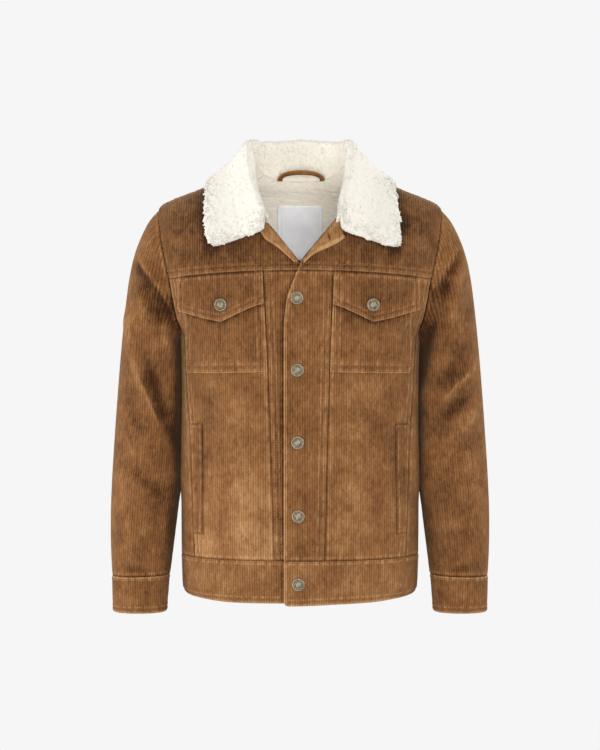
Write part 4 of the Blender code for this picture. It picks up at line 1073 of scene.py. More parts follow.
def frontSpots(x, z):
    # the angle and ring at x and height z on the front
    phi, v = np.zeros(np.shape(x)), np.full(np.shape(x), 6.0)
    for _ in range(4):
        phi = phiAtX(x, v)
        v = levelAtHeight(z, phi)
    return phiAtX(x, v), v


def innerEdge(side, z):
    share = (levelAtHeight(z, 30.0) - bandRing) / (yokeRing - bandRing)
    top, low = frontSeams[side]
    return mix(low, top, share) + side * 1.0


def flapEdge(side, z):
    pocketX = side * table(pocketEdge[side], z)
    v = levelAtHeight(z, 70.0)
    end = side * bodyBase(panelEnd(v), v)[..., 0]
    return mix(pocketX, end, table(flapShare, z))


def frontPatch(side, inner, outer, low, high, out, seams, seed, thickness, columns=90, rows=30, spring=0.0,
               sink=0.0, shade=None):
    # inner and outer give x at each height; low and high give z at each share of the way out
    shares = np.linspace(0.0, 1.0, columns)
    t = np.linspace(0.0, 1.0, rows)[:, None]
    z = mix(low(shares)[None, :], high(shares)[None, :], t)
    x = mix(inner(z), outer(z), shares[None, :])
    phi, v = frontSpots(x, z)
    places = bodyBase(phi, v)
    outs = bodyNormal(phi, v)
    lift = out + spring * (1 - t) ** 2 - sink * smooth((t - 0.7) / 0.3)
    lift = lift + liftOver(places, side > 0) + np.zeros(x.shape)
    places, outs, lift = towardsLeft(side, places, outs, lift)
    grain = "first" if side > 0 else "last"
    return Panel(places, outs, grain, seams, seed, lift, thickness=thickness, shade=shade)


def makePocket(side):
    tag = "left" if side > 0 else "right"
    free = ("free", stitch["edge"], pocket["seconds"])

    def underFlap(places, low, high):
        # painted shadow under the flap's lower edge
        below = table(flapOutline, abs(places[..., 0] - buttonLine)) - places[..., 2]
        return 1.2 * np.exp(-np.maximum(below, 0.0) / 3.0)

    panels[f"chest_pocket_{tag}"] = frontPatch(
        side, lambda z: innerEdge(side, z), lambda z: side * table(pocketEdge[side], z),
        lambda s: mix(pocket["lowInner"], pocket["lowOuter"], s), lambda s: pocket["top"] + 0 * s,
        pocket["out"], sided(side, free, free, low=free, high=under), 17.0 + side, pocket["thickness"],
        shade=underFlap)


def makeFlap(side):
    tag = "left" if side > 0 else "right"
    inner, outer = float(innerEdge(side, np.array(-185.0))), float(flapEdge(side, np.array(-185.0)))

    def low(shares):
        return table(flapOutline, abs(mix(inner, outer, shares) - buttonLine))

    def high(shares):
        phi = phiAtX(mix(inner, outer, shares), np.full(shares.shape, float(yokeRing)))
        return bodyBase(phi, yokeRing)[:, 2] - flap["topClear"]

    seams = sided(side, freeTwice, freeTwice, low=freeTwice, high=under)
    panels[f"pocket_flap_{tag}"] = frontPatch(
        side, lambda z: innerEdge(side, z), lambda z: flapEdge(side, z), low, high, flap["out"], seams,
        19.0 + side, flap["thickness"], flap["columns"], spring=flap["spring"], sink=flap["sink"])


def makeWelt(side):
    tag = "left" if side > 0 else "right"
    flush = ("flush", stitch["edge"])
    panels[f"pocket_welt_{tag}"] = frontPatch(
        side, lambda z: side * table(pocketEdge[side], z), lambda z: flapEdge(side, z),
        lambda s: welt["low"] + 0 * s, lambda s: welt["top"] + 0 * s, welt["out"],
        sided(side, flush, under, low=flush, high=flush), 21.0 + side, welt["thickness"], welt["columns"])


lapels = {
    # fold x, fold z, edge x, edge z, from the collar down to the overlap
    1: [
        (49.0, -70.5, 57.5, -97.5),
        (38.0, -83.5, 46.5, -105.0),
        (25.5, -98.5, 32.0, -112.0),
        (13.5, -113.5, 16.5, -119.5),
        (4.0, -126.0, 5.0, -130.5),
    ],
    -1: [
        (-47.0, -73.0, -51.5, -88.0),
        (-38.0, -83.5, -44.0, -99.5),
        (-25.5, -98.5, -30.5, -108.0),
        (-13.5, -113.5, -18.0, -118.5),
        (-3.0, -127.5, -7.5, -128.5),
    ],
}
lapel = {"rise": 0.9, "spring": 2.2, "thickness": 2.0, "ribs": 0.35, "rowStep": 1.5}
buttonhole = {"x": 37.5, "z": -95.0, "turn": -68.0, "halfLength": 4.2, "halfWidth": 1.1}


def holeShade(places, low, high):
    # painted shade: the dark slit of the one buttonhole that shows, on the left corner
    turn = radians(buttonhole["turn"])
    x, z = places[..., 0] - buttonhole["x"], places[..., 2] - buttonhole["z"]
    along, across = x * cos(turn) + z * sin(turn), z * cos(turn) - x * sin(turn)
    away = (along / buttonhole["halfLength"]) ** 2 + (across / buttonhole["halfWidth"]) ** 2
    return 1.9 * np.exp(-away)


def makeLapel(side):
    tag = "left" if side > 0 else "right"
    rows = np.array(lapels[side][::-1])
    t = np.linspace(0.0, len(rows) - 1.0, 40)
    made = rowsAt(rows[:, [0, 1, 2]], t), rowsAt(rows[:, [1, 2, 3]], t)
    fold, edge = made[0][:, :2], np.stack([made[0][:, 2], made[1][:, 2]], -1)
    shares = np.linspace(0.0, 1.0, 14)[None, :, None]
    spots = mix(fold[:, None, :], edge[:, None, :], shares)
    places, outs = np.empty(spots.shape[:2] + (3,)), np.empty(spots.shape[:2] + (3,))
    for i, j in np.ndindex(spots.shape[:2]):
        x, z = spots[i, j]
        spot, normal, _, _ = upperBody.ray_cast(Vector((x, -300.0, z)), Vector((0.0, 1.0, 0.0)))
        places[i, j], outs[i, j] = spot, normal if normal.y < 0 else -normal
    lift = lapel["rise"] + lapel["thickness"] + lapel["spring"] * smooth(shares[..., 0])
    lift = lift + liftOver(places, side > 0)
    seams = sided(side, ("rolled",), freeEdge, low=("free",), high=("free",))
    places, outs, lift = towardsLeft(side, places, outs, lift)
    grain, shade = ("first", holeShade) if side > 0 else ("last", None)
    panels[f"lapel_{tag}"] = Panel(places, outs, grain, seams, 23.0 + side, lift, shade=shade,
                                   **{key: lapel[key] for key in ("thickness", "ribs", "rowStep")})


for side in (1, -1):
    makePocket(side)
    makeFlap(side)
    makeWelt(side)
    makeLapel(side)
print("pockets and lapels laid out")

cloths = {}


# The sherpa collar
sherpa = {
    "half": 3.0, "columns": 400, "rows": 108, "underColumns": 120, "underRows": 36,
    "curl": 4.0, "curlHeight": 1.2, "clump": 3.0, "clumpReach": 4.4, "round": 4.5, "seed": 5,
}
noise.seed_set(sherpa["seed"])      # noise_vector's shifts are drawn from the clock without it
collarEnd = 37.0
collarRings = [
    # phi, roll out, roll forward, roll up, leaf x, leaf y, leaf z, how much more the left leaf opens
    (37.0, 6.0, 8.0, 8.0, 113.0, -88.0, -112.0, 11.0),
    (44.0, 5.0, 7.0, 12.5, 120.5, -78.0, -96.0, 8.0),
    (54.0, 4.0, 4.0, 18.5, 124.0, -61.0, -68.0, 5.0),
    (68.0, 3.0, 1.0, 25.5, 123.0, -34.0, -40.0, 2.0),
    (90.0, 3.0, 0.0, 31.0, 120.0, 4.0, -20.0, 0.0),
    (118.0, 3.0, 0.0, 37.0, 99.0, 44.0, -22.0, 0.0),
    (148.0, 3.0, 0.0, 50.5, 58.0, 72.0, -28.0, 0.0),
    (180.0, 2.0, 0.0, 55.5, 0.0, 84.0, -31.0, 0.0),
]
rollRadius = 6.5
collarClear, collarClearFront = 1.4, 3.5
collarDroop, droopSpread = (0.0, -1.5, -11.0), 16.0      # how the thick front ends hang below the roll
leftOpens, rightOpens, endOpens, endSpread = 5.0, 1.5, 5.5, 12.0
standTucks = (9.0, 3.0, -4.0)


def laidOver(spot, tree, clearance):
    place, normal, _, _ = tree.find_nearest(Vector(spot))
    height = (Vector(spot) - place).dot(normal)
    return np.array(Vector(spot) + normal * (clearance - height)) if height < clearance else spot


def collarSection(phi, tree):
    # the middle of the collar's cloth: up from the neckline, over the roll and down to the leaf's edge
    around, side = min(phi, 360.0 - phi), 1.0 if phi <= 180.0 else -1.0
    rings = np.array(collarRings)
    at = np.array([np.interp(around, rings[:, 0], np.arange(len(rings)))])
    out, forward, up = rowsAt(rings[:, 1:4], at)[0]
    leaf = rowsAt(rings[:, 4:7], at)[0]
    leaf[0] += rowsAt(rings[:, 5:8], at)[0, 2] if side > 0 else 0.0
    neck = bodyBase(np.array([around]), float(neckRing))[0]
    under = neck - bodyNormal(np.array([around]), float(neckRing))[0] * 2.5
    outward = np.array([neck[0], neck[1], 0.0])
    outward /= np.linalg.norm(outward)
    base = np.array([under[0], under[1], neck[2]]) - outward * (sherpa["half"] + 0.75)
    roll = base + outward * out + np.array([0.0, -forward, up])
    r = min(rollRadius, up * 0.8)
    sink = np.array([0.0, 0.0, -r])
    points = [
        base,
        mix(base, roll - outward * r * 0.7 + sink, 0.55),
        roll - outward * r * 0.7 + sink,
        roll,
        roll + outward * r * 0.9 + sink,
        mix(roll, leaf, 0.5) - outward * 0.5 - np.array([0.0, 0.0, 3.5]),
        leaf,
    ]
    end = float(1.0 - smooth((around - collarEnd) / droopSpread))
    points[4] = points[4] + np.array(collarDroop) * end
    points[5] = points[5] + np.array(collarDroop) * 0.5 * end
    endNear = float(1.0 - smooth((around - collarEnd) / endSpread))
    for k in (2, 3, 4):
        points[k] = points[k] + outward * (leftOpens if side > 0 else rightOpens) * end
    if side > 0:
        for k in (2, 3, 4, 5, 6):
            points[k] = points[k] + np.array([endOpens if k < 5 else endOpens * 0.6, 0.0, 0.0]) * endNear
    points[0] = points[0] + np.array(standTucks) * endNear
    points[1] = points[1] + np.array(standTucks) * 0.8 * endNear
    front = 1.0 - smooth((around - collarEnd) / 30.0)
    for k in (4, 5, 6):
        points[k] = laidOver(points[k], tree, sherpa["half"] + collarClear + collarClearFront * front)
    return np.array([(side * x, y, z) for x, y, z in points])


def pile(points, seed, curl=sherpa["curl"]):
    # the curly pile's height over many points: rounded tufts, broken up by finer noise, from 0 to 1
    height = np.empty(len(points))
    shift = Vector((seed, -seed, 0.4 * seed))
    for n, point in enumerate(points.tolist()):
        place = Vector(point) / curl + shift
        place += noise.noise_vector(place * 0.9) * 0.55
        near = noise.voronoi(place)[0]
        tuft = max(0.0, 1.0 - (near[0] / 0.78) ** 2) ** 0.5
        fine = noise.fractal(place * 2.3, 0.8, 2.1, 3)
        height[n] = tuft * (0.85 + 0.3 * noise.noise(place * 0.35)) + 0.22 * fine
    return height


def closedSheet(name, outer, inner, slotName, marks=None, uv=None):
    # one closed mesh from a fine outer grid and a coarser inner one, rows up and columns to the left
    outerCount, innerCount = outer.shape[0] * outer.shape[1], inner.shape[0] * inner.shape[1]
    outerIds = np.arange(outerCount).reshape(outer.shape[:2])
    innerIds = outerCount + np.arange(innerCount).reshape(inner.shape[:2])
    points = np.concatenate([outer.reshape(-1, 3), inner.reshape(-1, 3)])
    a, b = outerIds[:-1, :-1].ravel(), outerIds[:-1, 1:].ravel()
    faces = np.stack([a, b, outerIds[1:, 1:].ravel(), outerIds[1:, :-1].ravel()], 1).tolist()
    a, b = innerIds[:-1, :-1].ravel(), innerIds[:-1, 1:].ravel()
    faces += np.stack([a, innerIds[1:, :-1].ravel(), innerIds[1:, 1:].ravel(), b], 1).tolist()
    lines = [
        (outerIds[0], innerIds[0]), (outerIds[:, -1], innerIds[:, -1]),
        (outerIds[-1, ::-1], innerIds[-1, ::-1]), (outerIds[::-1, 0], innerIds[::-1, 0]),
    ]
    for outerLine, innerLine in lines:
        faces += zipped(points, outerLine.tolist(), innerLine.tolist())
    if marks is not None:
        marks = np.concatenate([marks.reshape(-1, 2), np.zeros((innerCount, 2))])
    if uv is not None:
        uv = np.concatenate([uv.reshape(-1, 2), np.zeros((innerCount, 2))])
    return meshPiece(name, points, faces, uv, marks, slotName)


def gridAt(grid, rows, columns):
    # the places of a coarse table at finer rows and columns, along smooth curves
    tall = np.stack([rowsAt(grid, np.full(grid.shape[1], row)) for row in rows])
    turned = np.swapaxes(tall, 0, 1)
    wide = np.stack([rowsAt(turned, np.full(turned.shape[1], column)) for column in columns])
    return np.swapaxes(wide, 0, 1)


def edgeShares(count, edge, total):
    # from 0 to 1, with steps closer together near both ends, where an edge is rounded
    near = edge * (1 - np.cos(np.linspace(0.0, pi / 2, 5)))[:-1] / total
    return np.concatenate([near, np.linspace(edge / total, 1 - edge / total, count), (1 - near)[::-1]])


def gridTree(grid):
    ids = np.arange(grid.shape[0] * grid.shape[1]).reshape(grid.shape[:2])
    corners = np.stack([ids[:-1, :-1], ids[:-1, 1:], ids[1:, 1:], ids[1:, :-1]], -1)
    return BVHTree.FromPolygons(grid.reshape(-1, 3).tolist(), corners.reshape(-1, 4).tolist())


def gridNormals(grid):
    return unit(np.cross(np.gradient(grid, axis=1), np.gradient(grid, axis=0)))


def cornered(grid, fromLeaf, fromEnds, along, outward, sideways):
    # the leaf's two corners, rounded
    pull = sherpa["round"] * np.exp(-fromLeaf / 5.0) * np.exp(-fromEnds / 5.0)
    inward = np.where(along < along[:, -1:] / 2, 1.0, -1.0)
    return grid - outward * pull[..., None] + sideways * (pull * inward)[..., None]


def makeCollar(tree):
    stations = np.linspace(360.0 - collarEnd, collarEnd, 57)
    middle = np.stack([collarSection(phi, tree) for phi in stations], axis=1)
    half = sherpa["half"]

    def face(rowCount, columnCount, way):
        rows = edgeShares(rowCount, half, 125.0)
        columns = edgeShares(columnCount, half, 480.0)
        grid = gridAt(middle, rows * 6.0, columns * (len(stations) - 1))
        normals = gridNormals(grid)
        up = np.concatenate([np.zeros((1, grid.shape[1])),
                             np.cumsum(np.linalg.norm(np.diff(grid, axis=0), axis=-1), axis=0)])
        along = np.concatenate([np.zeros((grid.shape[0], 1)),
                                np.cumsum(np.linalg.norm(np.diff(grid, axis=1), axis=-1), axis=1)], axis=1)
        fromBase, fromLeaf = up, up[-1:] - up
        fromEnds = np.minimum(along, along[:, -1:] - along)
        rim = np.minimum(np.minimum(fromBase, fromLeaf), fromEnds) / half
        round_ = np.sqrt(1 - (1 - np.clip(rim, 0.0, 1.0)) ** 2)
        return grid, normals, half * round_ * way, fromBase, fromLeaf, fromEnds, along

    grid, normals, depth, fromBase, fromLeaf, fromEnds, along = face(sherpa["rows"], sherpa["columns"], 1.0)
    tufts = pile(grid.reshape(-1, 3), 3.0).reshape(grid.shape[:2])
    outward = unit(grid - np.roll(grid, 1, axis=0))
    edge = np.exp(-(fromLeaf / 4.0) ** 2)
    ends = np.exp(-(fromEnds / 4.0) ** 2) * np.where(along < along[:, -1:] / 2, -1.0, 1.0)
    sideways = unit(np.gradient(grid, axis=1))
    free = smooth(fromBase / 6.0)
    height = (tufts - 0.45) * sherpa["curlHeight"] * free
    standTree = gridTree(grid + normals * depth[..., None])
    every = grid.reshape(-1, 3).tolist()
    clumps = np.array([noise.noise(Vector(place) / sherpa["clump"]) for place in every])
    ragged = height * 1.1 + clumps.reshape(height.shape) * sherpa["clumpReach"]
    outer = grid + normals * (depth + height)[..., None]
    outer += outward * (edge * ragged)[..., None] + sideways * (ends * ragged)[..., None]
    outer = cornered(outer, fromLeaf, fromEnds, along, outward, sideways)
    coarse, coarseNormals, coarseDepth, _, coarseLeaf, coarseEnds, coarseAlong = face(
        sherpa["underRows"], sherpa["underColumns"], -1.0)
    inner = coarse + coarseNormals * coarseDepth[..., None]
    inner = cornered(inner, coarseLeaf, coarseEnds, coarseAlong, unit(coarse - np.roll(coarse, 1, axis=0)),
                     unit(np.gradient(coarse, axis=1)))
    # the tufts' height lightens the pile's paint: painted light on the tips and painted shade in the hollows
    marks = np.stack([tufts, np.exp(-fromBase / 12.0)], -1)
    uv = np.stack([along, fromBase], -1)
    return closedSheet("Collar", outer, inner, "sherpa", marks, uv), standTree, outer


# Loose curls of wool that stand out of the pile: each a short bent tuft
curls = {"count": 3600, "length": (2.6, 5.2), "rise": (0.45, 1.15), "halfWidth": 0.46, "steps": 4, "seed": 12}


def makeCurls(surface):
    draw = np.random.default_rng(curls["seed"])
    rows, columns = surface.shape[:2]
    normals = gridNormals(surface)
    steps = curls["steps"]
    points, faces = [], []
    for n in range(curls["count"]):
        # a third of them along the free edge and some along both ends, where they show as fringe
        depth = rows - 1 - abs(draw.normal(0.0, 4.0)) if n % 3 == 0 else draw.uniform(6.0, rows - 1)
        beside = draw.uniform(2, columns - 3)
        if n % 7 == 1:
            beside = abs(draw.normal(0.0, 5.0)) + 2 if n % 2 else columns - 3 - abs(draw.normal(0.0, 5.0))
            depth = draw.uniform(rows * 0.4, rows - 1)
        i, j = int(np.clip(depth, 3, rows - 2)), int(np.clip(beside, 2, columns - 3))
        out = normals[i, j]
        along = unit(surface[i + 1, j] - surface[i - 1, j])
        beside = np.cross(out, along)
        turn = draw.uniform(0.0, 2 * pi)
        way = along * cos(turn) + beside * sin(turn)
        side = np.cross(out, way)
        length, rise = draw.uniform(*curls["length"]), draw.uniform(*curls["rise"])
        if n % 3 and n % 7 != 1:
            rise *= 0.45
        bend = draw.uniform(-1.6, 1.6)
        for k in range(steps + 1):
            share = k / steps
            middle = surface[i, j] + way * length * (share - 0.5) + out * (rise * sin(pi * share) - 0.25)
            middle = middle + side * bend * sin(pi * share)
            half = curls["halfWidth"] * (0.35 + 0.65 * sin(pi * (0.15 + 0.7 * share)))
            for corner in range(3):
                angle = 2 * pi * corner / 3 + share
                points.append(middle + (out * cos(angle) + side * sin(angle)) * half)
        base = n * 3 * (steps + 1)
        for k in range(steps):
            a = base + 3 * k
            faces += [(a + c, a + 3 + c, a + 3 + (c + 1) % 3, a + (c + 1) % 3) for c in range(3)]
        faces += [(base, base + 1, base + 2), (base + 3 * steps + 2, base + 3 * steps + 1, base + 3 * steps)]
    # the curls take the pile's lightest paint, painted light as on the tufts' tips
    marks = np.full((len(points), 2), 0.95)
    return meshPiece("CollarCurls", np.array(points), faces, None, marks, "sherpa")


cloths["collar"], standTree, pileFace = makeCollar(upperBody)
collarCurls = makeCurls(pileFace)
leafEdge = pileFace[-1]
print("collar made")

for name, panel in panels.items():
    if "sleeve" in name:
        folds = withSleeveFolds(1 if name.endswith("left") else -1)
    elif "yoke" in name or "cuff" in name:
        folds = None
    else:
        folds = withBodyFolds
    cloths[name] = panel.build(name.title().replace("_", ""), folds)
print("cloth made")


# Inside the neck: pile lining, label and hanging loop
lining = {
    "foot": 4.53, "near": 2.9, "far": 7.9, "curl": 3.6, "curlHeight": 1.9, "inset": 1.0 / 18.0,
}
label = {
    "halfWidth": 31.0, "top": -50.0, "low": -122.0, "back": 8.6, "face": 9.4, "fold": 5.0, "round": 5.0,
}
loop = {
    "middle": 1.6, "halfSpan": 28.8, "rise": 11.6, "start": 2.0, "lean": 8.0, "width": 6.5, "thickness": 2.4,
}


def makeLining():
    levels = np.linspace(lining["foot"], neckRing, 120)
    end = np.where(levels <= yokeRing, panelEnd(levels, True), armholePhi(levels, True))
    end = np.where(levels > shoulderRing, shoulderSeam(levels), end)

    def face(levels, end, columns, depth):
        shares = np.linspace(1 - lining["inset"], lining["inset"], columns)
        phi = mix(end[:, None], 360.0 - end[:, None], shares[None, :])
        v = np.broadcast_to(levels[:, None], phi.shape)
        places, outs = bodyBase(phi, v), bodyNormal(phi, v)
        seam = places[-1:]
        outward = unit(seam * [1.0, 1.0, 0.0])
        top = seam - outs[-1:] * 2.5 * [1.0, 1.0, 0.0] - outward * (depth - 2.6) + [0.0, 0.0, 1.2]
        share = smooth((v - neckRing + 0.35) / 0.35)[..., None]
        return mix(places - outs * depth, top + (places - seam) * 0.2, share), outs

    shown, outs = face(levels, end, 190, lining["far"])
    some = np.linspace(0, len(levels) - 1, 30).astype(int)
    hidden, _ = face(levels[some], end[some], 46, lining["near"])
    tufts = pile(shown.reshape(-1, 3), 8.0, lining["curl"]).reshape(shown.shape[:2])
    x, y, z = np.moveaxis(shown, -1, 0)
    pressed = smooth((label["halfWidth"] + 4.0 - abs(x)) / 3.0) * smooth((label["top"] + 4.0 - z) / 3.0)
    pressed = pressed * smooth((z - label["low"] + 4.0) / 3.0) * (y > 0)
    rim = smooth((z - z[:1]) / 4.0)
    height = (tufts - 0.45) * lining["curlHeight"] * rim * (1 - 0.9 * pressed)
    shown = shown - outs * height[..., None]
    # the tufts' height: painted light on the tips and painted shade in the hollows
    marks = np.stack([tufts, np.full(tufts.shape, 0.6)], -1)
    return closedSheet("BackLining", shown, hidden, "sherpa", marks, shown[..., [0, 2]])


def insideBack(x, z, depth):
    # a place inside the back at x and z, so far in from the body's face
    spot, normal, _, _ = upperBody.ray_cast(Vector((x, 0.0, z)), Vector((0.0, 1.0, 0.0)))
    normal = normal if normal.y > 0 else -normal
    return spot.y - depth / max(normal.y, 0.5)


def makeLabel():
    def face(columns, rows, depth):
        xs = np.linspace(-label["halfWidth"], label["halfWidth"], columns)
        zs = np.linspace(label["low"], label["top"], rows)
        grid = np.empty((rows, columns, 3))
        for i, z in enumerate(zs):
            # the upper corners are round
            short = max(label["round"] - (label["top"] - z), 0.0)
            narrower = 1.0 - (label["round"] - sqrt(label["round"] ** 2 - short ** 2)) / label["halfWidth"]
            for j, x in enumerate(xs * narrower):
                grid[i, j] = x, insideBack(x, z, depth), z
        return grid

    shown = face(63, 73, label["face"])
    x, z = shown[..., 0], shown[..., 2]
    fromSide = label["halfWidth"] - abs(x)
    fromEnd = np.minimum(label["top"] - z, z - label["low"])
    edge = np.minimum(fromSide, fromEnd)
    bend = 0.35 * np.exp(-edge / 0.8) + 0.6 * np.exp(-((fromSide - label["fold"]) / 0.7) ** 2)
    bend += 0.12 * np.sin(x / 7.0 + 1.0) * np.sin(z / 11.0)
    shown[..., 1] += bend
    # painted shade along the folds near both sides
    marks = np.stack([0 * edge, np.exp(-((fromSide - label["fold"]) / 0.8) ** 2)], -1)
    return closedSheet("NeckLabel", shown, face(12, 12, label["back"]), "label", marks, shown[..., [0, 2]])


def makeLoop():
    base = bodyBase(np.array([180.0]), float(neckRing))[0]

    def face(columns, rows, depth):
        grid = np.empty((rows, columns, 3))
        for i, edge in enumerate(np.linspace(-1.0, 1.0, rows)):
            for j, turn in enumerate(np.linspace(0.0, pi, columns)):
                half = edge * loop["width"] / 2
                x = loop["middle"] - loop["halfSpan"] * cos(turn) - half * cos(turn)
                z = base[2] + loop["rise"] * max(sin(turn), 0.0) ** 0.75 + loop["start"] + half * sin(turn)
                spot, _, _, _ = standTree.ray_cast(Vector((x, -20.0, z)), Vector((0.0, 1.0, 0.0)))
                crown = 0.55 * edge ** 2 if depth > 1.0 else 0.0
                grid[i, j] = x, spot.y - depth - loop["lean"] * sin(turn) + crown, z
        return grid

    shown = face(90, 17, 1.2 + loop["thickness"])
    ribs = 0.22 * np.cos(2 * pi * np.linspace(-1.0, 1.0, 17) * loop["width"] / 2 / 1.6)
    shown[..., 1] -= ribs[:, None]
    run = np.concatenate([[0.0], np.cumsum(np.linalg.norm(np.diff(shown[8], axis=0), axis=1))])
    across = np.linspace(-loop["width"] / 2, loop["width"] / 2, 17)
    uv = np.stack(np.broadcast_arrays(across[:, None], run[None, :]), -1)
    marks = np.zeros(shown.shape[:2] + (2,))
    # painted light along the loop's outer edge and painted shade along its inner one
    marks[-3:, :, 0], marks[:4, :, 1] = 0.8, 0.7
    return closedSheet("HangingLoop", shown, face(40, 3, 1.2), "corduroy", marks, uv)


cloths["back_lining"], cloths["neck_label"] = makeLining(), makeLabel()
cloths["hanging_loop"] = makeLoop()
print("lining, label and loop made")


# Topstitching: small capsules of thread along every line of stitches
thread = {"pitch": 3.3, "length": 2.5, "halfWidth": 0.36, "halfHeight": 0.3, "out": 0.05}


def stitchPlaces(panel, rows, at, folded):
    # evenly spaced places along a line of stitches, its direction and the way out
    points, ways = panel.spot(rows, at, thread["out"])
    if folded:
        points = points + ways * bodyFoldHeight(points)[:, None]
    run = np.concatenate([[0.0], np.cumsum(np.linalg.norm(np.diff(points, axis=0), axis=1))])
    marks = np.arange(thread["pitch"] / 2, run[-1], thread["pitch"])
    spots = np.stack([np.interp(marks, run, points[:, k]) for k in range(3)], -1)
    outs = np.stack([np.interp(marks, run, ways[:, k]) for k in range(3)], -1)
    ahead = np.stack([np.interp(marks + 0.6, run, points[:, k]) for k in range(3)], -1)
    behind = np.stack([np.interp(marks - 0.6, run, points[:, k]) for k in range(3)], -1)
    return spots, unit(ahead - behind), unit(outs)


def makeStitches():
    spots, alongs, outs = [], [], []
    for name, panel in panels.items():
        folded = not any(word in name for word in ("yoke", "cuff", "sleeve", "lapel"))
        for rows, at in panel.stitchLines():
            made = stitchPlaces(panel, rows, at, folded)
            for line, found in zip((spots, alongs, outs), made):
                line.append(found)
    spots, alongs, outs = (np.concatenate(line) for line in (spots, alongs, outs))
    beside = unit(np.cross(alongs, outs))
    tip, ring = thread["length"] / 2, thread["length"] * 0.3
    w, h = thread["halfWidth"], thread["halfHeight"]
    shape = [(-tip, 0.0, -0.1)]
    for reach in (-ring, ring):
        shape += [(reach, w, 0.0), (reach, 0.0, h), (reach, -w, 0.0), (reach, 0.0, -h)]
    shape.append((tip, 0.0, -0.1))
    points = sum(np.array(shape)[None, :, k, None] * way[:, None, :]
                 for k, way in enumerate((alongs, beside, outs))) + spots[:, None, :]
    faces = []
    for k in range(4):
        n = (k + 1) % 4
        faces += [(0, 1 + n, 1 + k), (1 + k, 1 + n, 5 + n, 5 + k), (9, 5 + k, 5 + n)]
    every = [[len(shape) * n + corner for corner in face] for n in range(len(spots)) for face in faces]
    return meshPiece("Topstitching", points.reshape(-1, 3), every)


stitches = makeStitches()
print("stitches made", len(stitches.data.vertices) // 10)


# Buttons
buttonSizes = {
    "radius": 8.4, "height": 1.3, "lift": 0.9, "seat": 6.5, "softened": 0.18,
    # on the hidden side: a ring round a stub that goes into the cloth
    "backRim": 5.4, "shank": 1.4,
    # each step on the face: how far in, how far up
    "steps": [(0.45, 0.55), (0.9, 0.12), (0.5, -0.5), (2.6, 0.05), (0.4, 0.35), (1.0, 0.3), (1.3, 0.1)],
}
frontButtons = [(-4.0, -174.0), (-3.4, -267.0), (-3.0, -361.0), (-2.2, -456.5), (-2.0, -545.0)]
flapButton = (98.0, -183.0)                      # from the buttons' line, z


def selectFace(piece, test):
    bpy.ops.object.mode_set(mode="OBJECT")
    for face in piece.data.polygons:
        face.select = test(face)
    bpy.ops.object.mode_set(mode="EDIT")


def makeButton():
    radius, height = buttonSizes["radius"] * mm, buttonSizes["height"] * mm
    middle = 0.0, 0.0, height / 2
    bpy.ops.mesh.primitive_cylinder_add(vertices=48, radius=radius, depth=height, location=middle)
    made = bpy.context.object
    bpy.ops.object.transform_apply(location=True)
    bpy.ops.object.mode_set(mode="EDIT")
    bpy.ops.mesh.select_mode(type="FACE")
    selectFace(made, lambda face: face.normal.z > 0.9)
    for inward, up in buttonSizes["steps"]:
        bpy.ops.mesh.inset(thickness=inward * mm)
        bpy.ops.transform.translate(value=(0.0, 0.0, up * mm))
    selectFace(made, lambda face: face.normal.z < -0.9)
    bpy.ops.mesh.inset(thickness=buttonSizes["backRim"] * mm)
    bpy.ops.mesh.extrude_region_move(TRANSFORM_OT_translate={"value": (0.0, 0.0, -buttonSizes["shank"] * mm)})
    bpy.ops.object.mode_set(mode="OBJECT")
    softened = made.modifiers.new("softened", "BEVEL")
    softened.width, softened.segments, softened.limit_method = buttonSizes["softened"] * mm, 2, "ANGLE"
    bpy.ops.object.modifier_apply(modifier="softened")
    bpy.ops.object.shade_smooth_by_angle(angle=radians(40.0))
    return made


def pieceTree(names):
    points, faces = [], []
    for name in names:
        mesh, first = cloths[name].data, len(points)
        points += [vertex.co / mm for vertex in mesh.vertices]
        faces += [[first + k for k in face.vertices] for face in mesh.polygons]
    return BVHTree.FromPolygons(points, faces)


def gridSeat(tree, x, z):
    # where a button rests: the middle and the way out of the cloth under its rim
    turns = np.linspace(0.0, 2 * pi, 12, endpoint=False)
    rim = []
    reach = buttonSizes["seat"]
    for turn in turns:
        start = Vector((x + reach * cos(turn), -300.0, z + reach * sin(turn)))
        rim.append(np.array(tree.ray_cast(start, Vector((0.0, 1.0, 0.0)))[0]))
    rim = np.array(rim)
    sideways = sum(rim[k] - rim[(k + 6) % 12] for k in (11, 0, 1))
    upwards = sum(rim[k] - rim[(k + 6) % 12] for k in (2, 3, 4))
    return Vector(rim.mean(0)), Vector(unit(np.cross(sideways, upwards)))


def placeButton(model, name, tree, x, z):
    made = model.copy()
    made.data = model.data.copy()
    made.name = name
    bpy.context.scene.collection.objects.link(made)
    seat, normal = gridSeat(tree, x, z)
    turned = normal.to_track_quat("Z", "Y")
    for vertex in made.data.vertices:
        vertex.co = turned @ vertex.co + (seat + normal * buttonSizes["lift"]) * mm
    return made


model = makeButton()
buttons = {}
frontTree = pieceTree(["front_centre_left", "waistband"])
for number, place in enumerate(frontButtons, 1):
    buttons[f"front_button_{number}"] = placeButton(model, f"FrontButton{number}", frontTree, *place)
for side, tag in ((1, "left"), (-1, "right")):
    place = buttonLine + side * flapButton[0], flapButton[1]
    buttons[f"flap_button_{tag}"] = placeButton(model, f"FlapButton{tag.title()}",
                                                pieceTree([f"pocket_flap_{tag}"]), *place)
bpy.data.objects.remove(model)
print("buttons made")


# Materials
def fillSockets(tree, node, values):
    for key, value in values.items():
        if isinstance(value, bpy.types.NodeSocket):
            tree.links.new(value, node.inputs[key])
        else:
            node.inputs[key].default_value = value


def socketNode(tree, kind, values=None, **settings):
    node = tree.nodes.new(kind)
    for name, value in settings.items():
        setattr(node, name, value)
    fillSockets(tree, node, values or {})
    return node


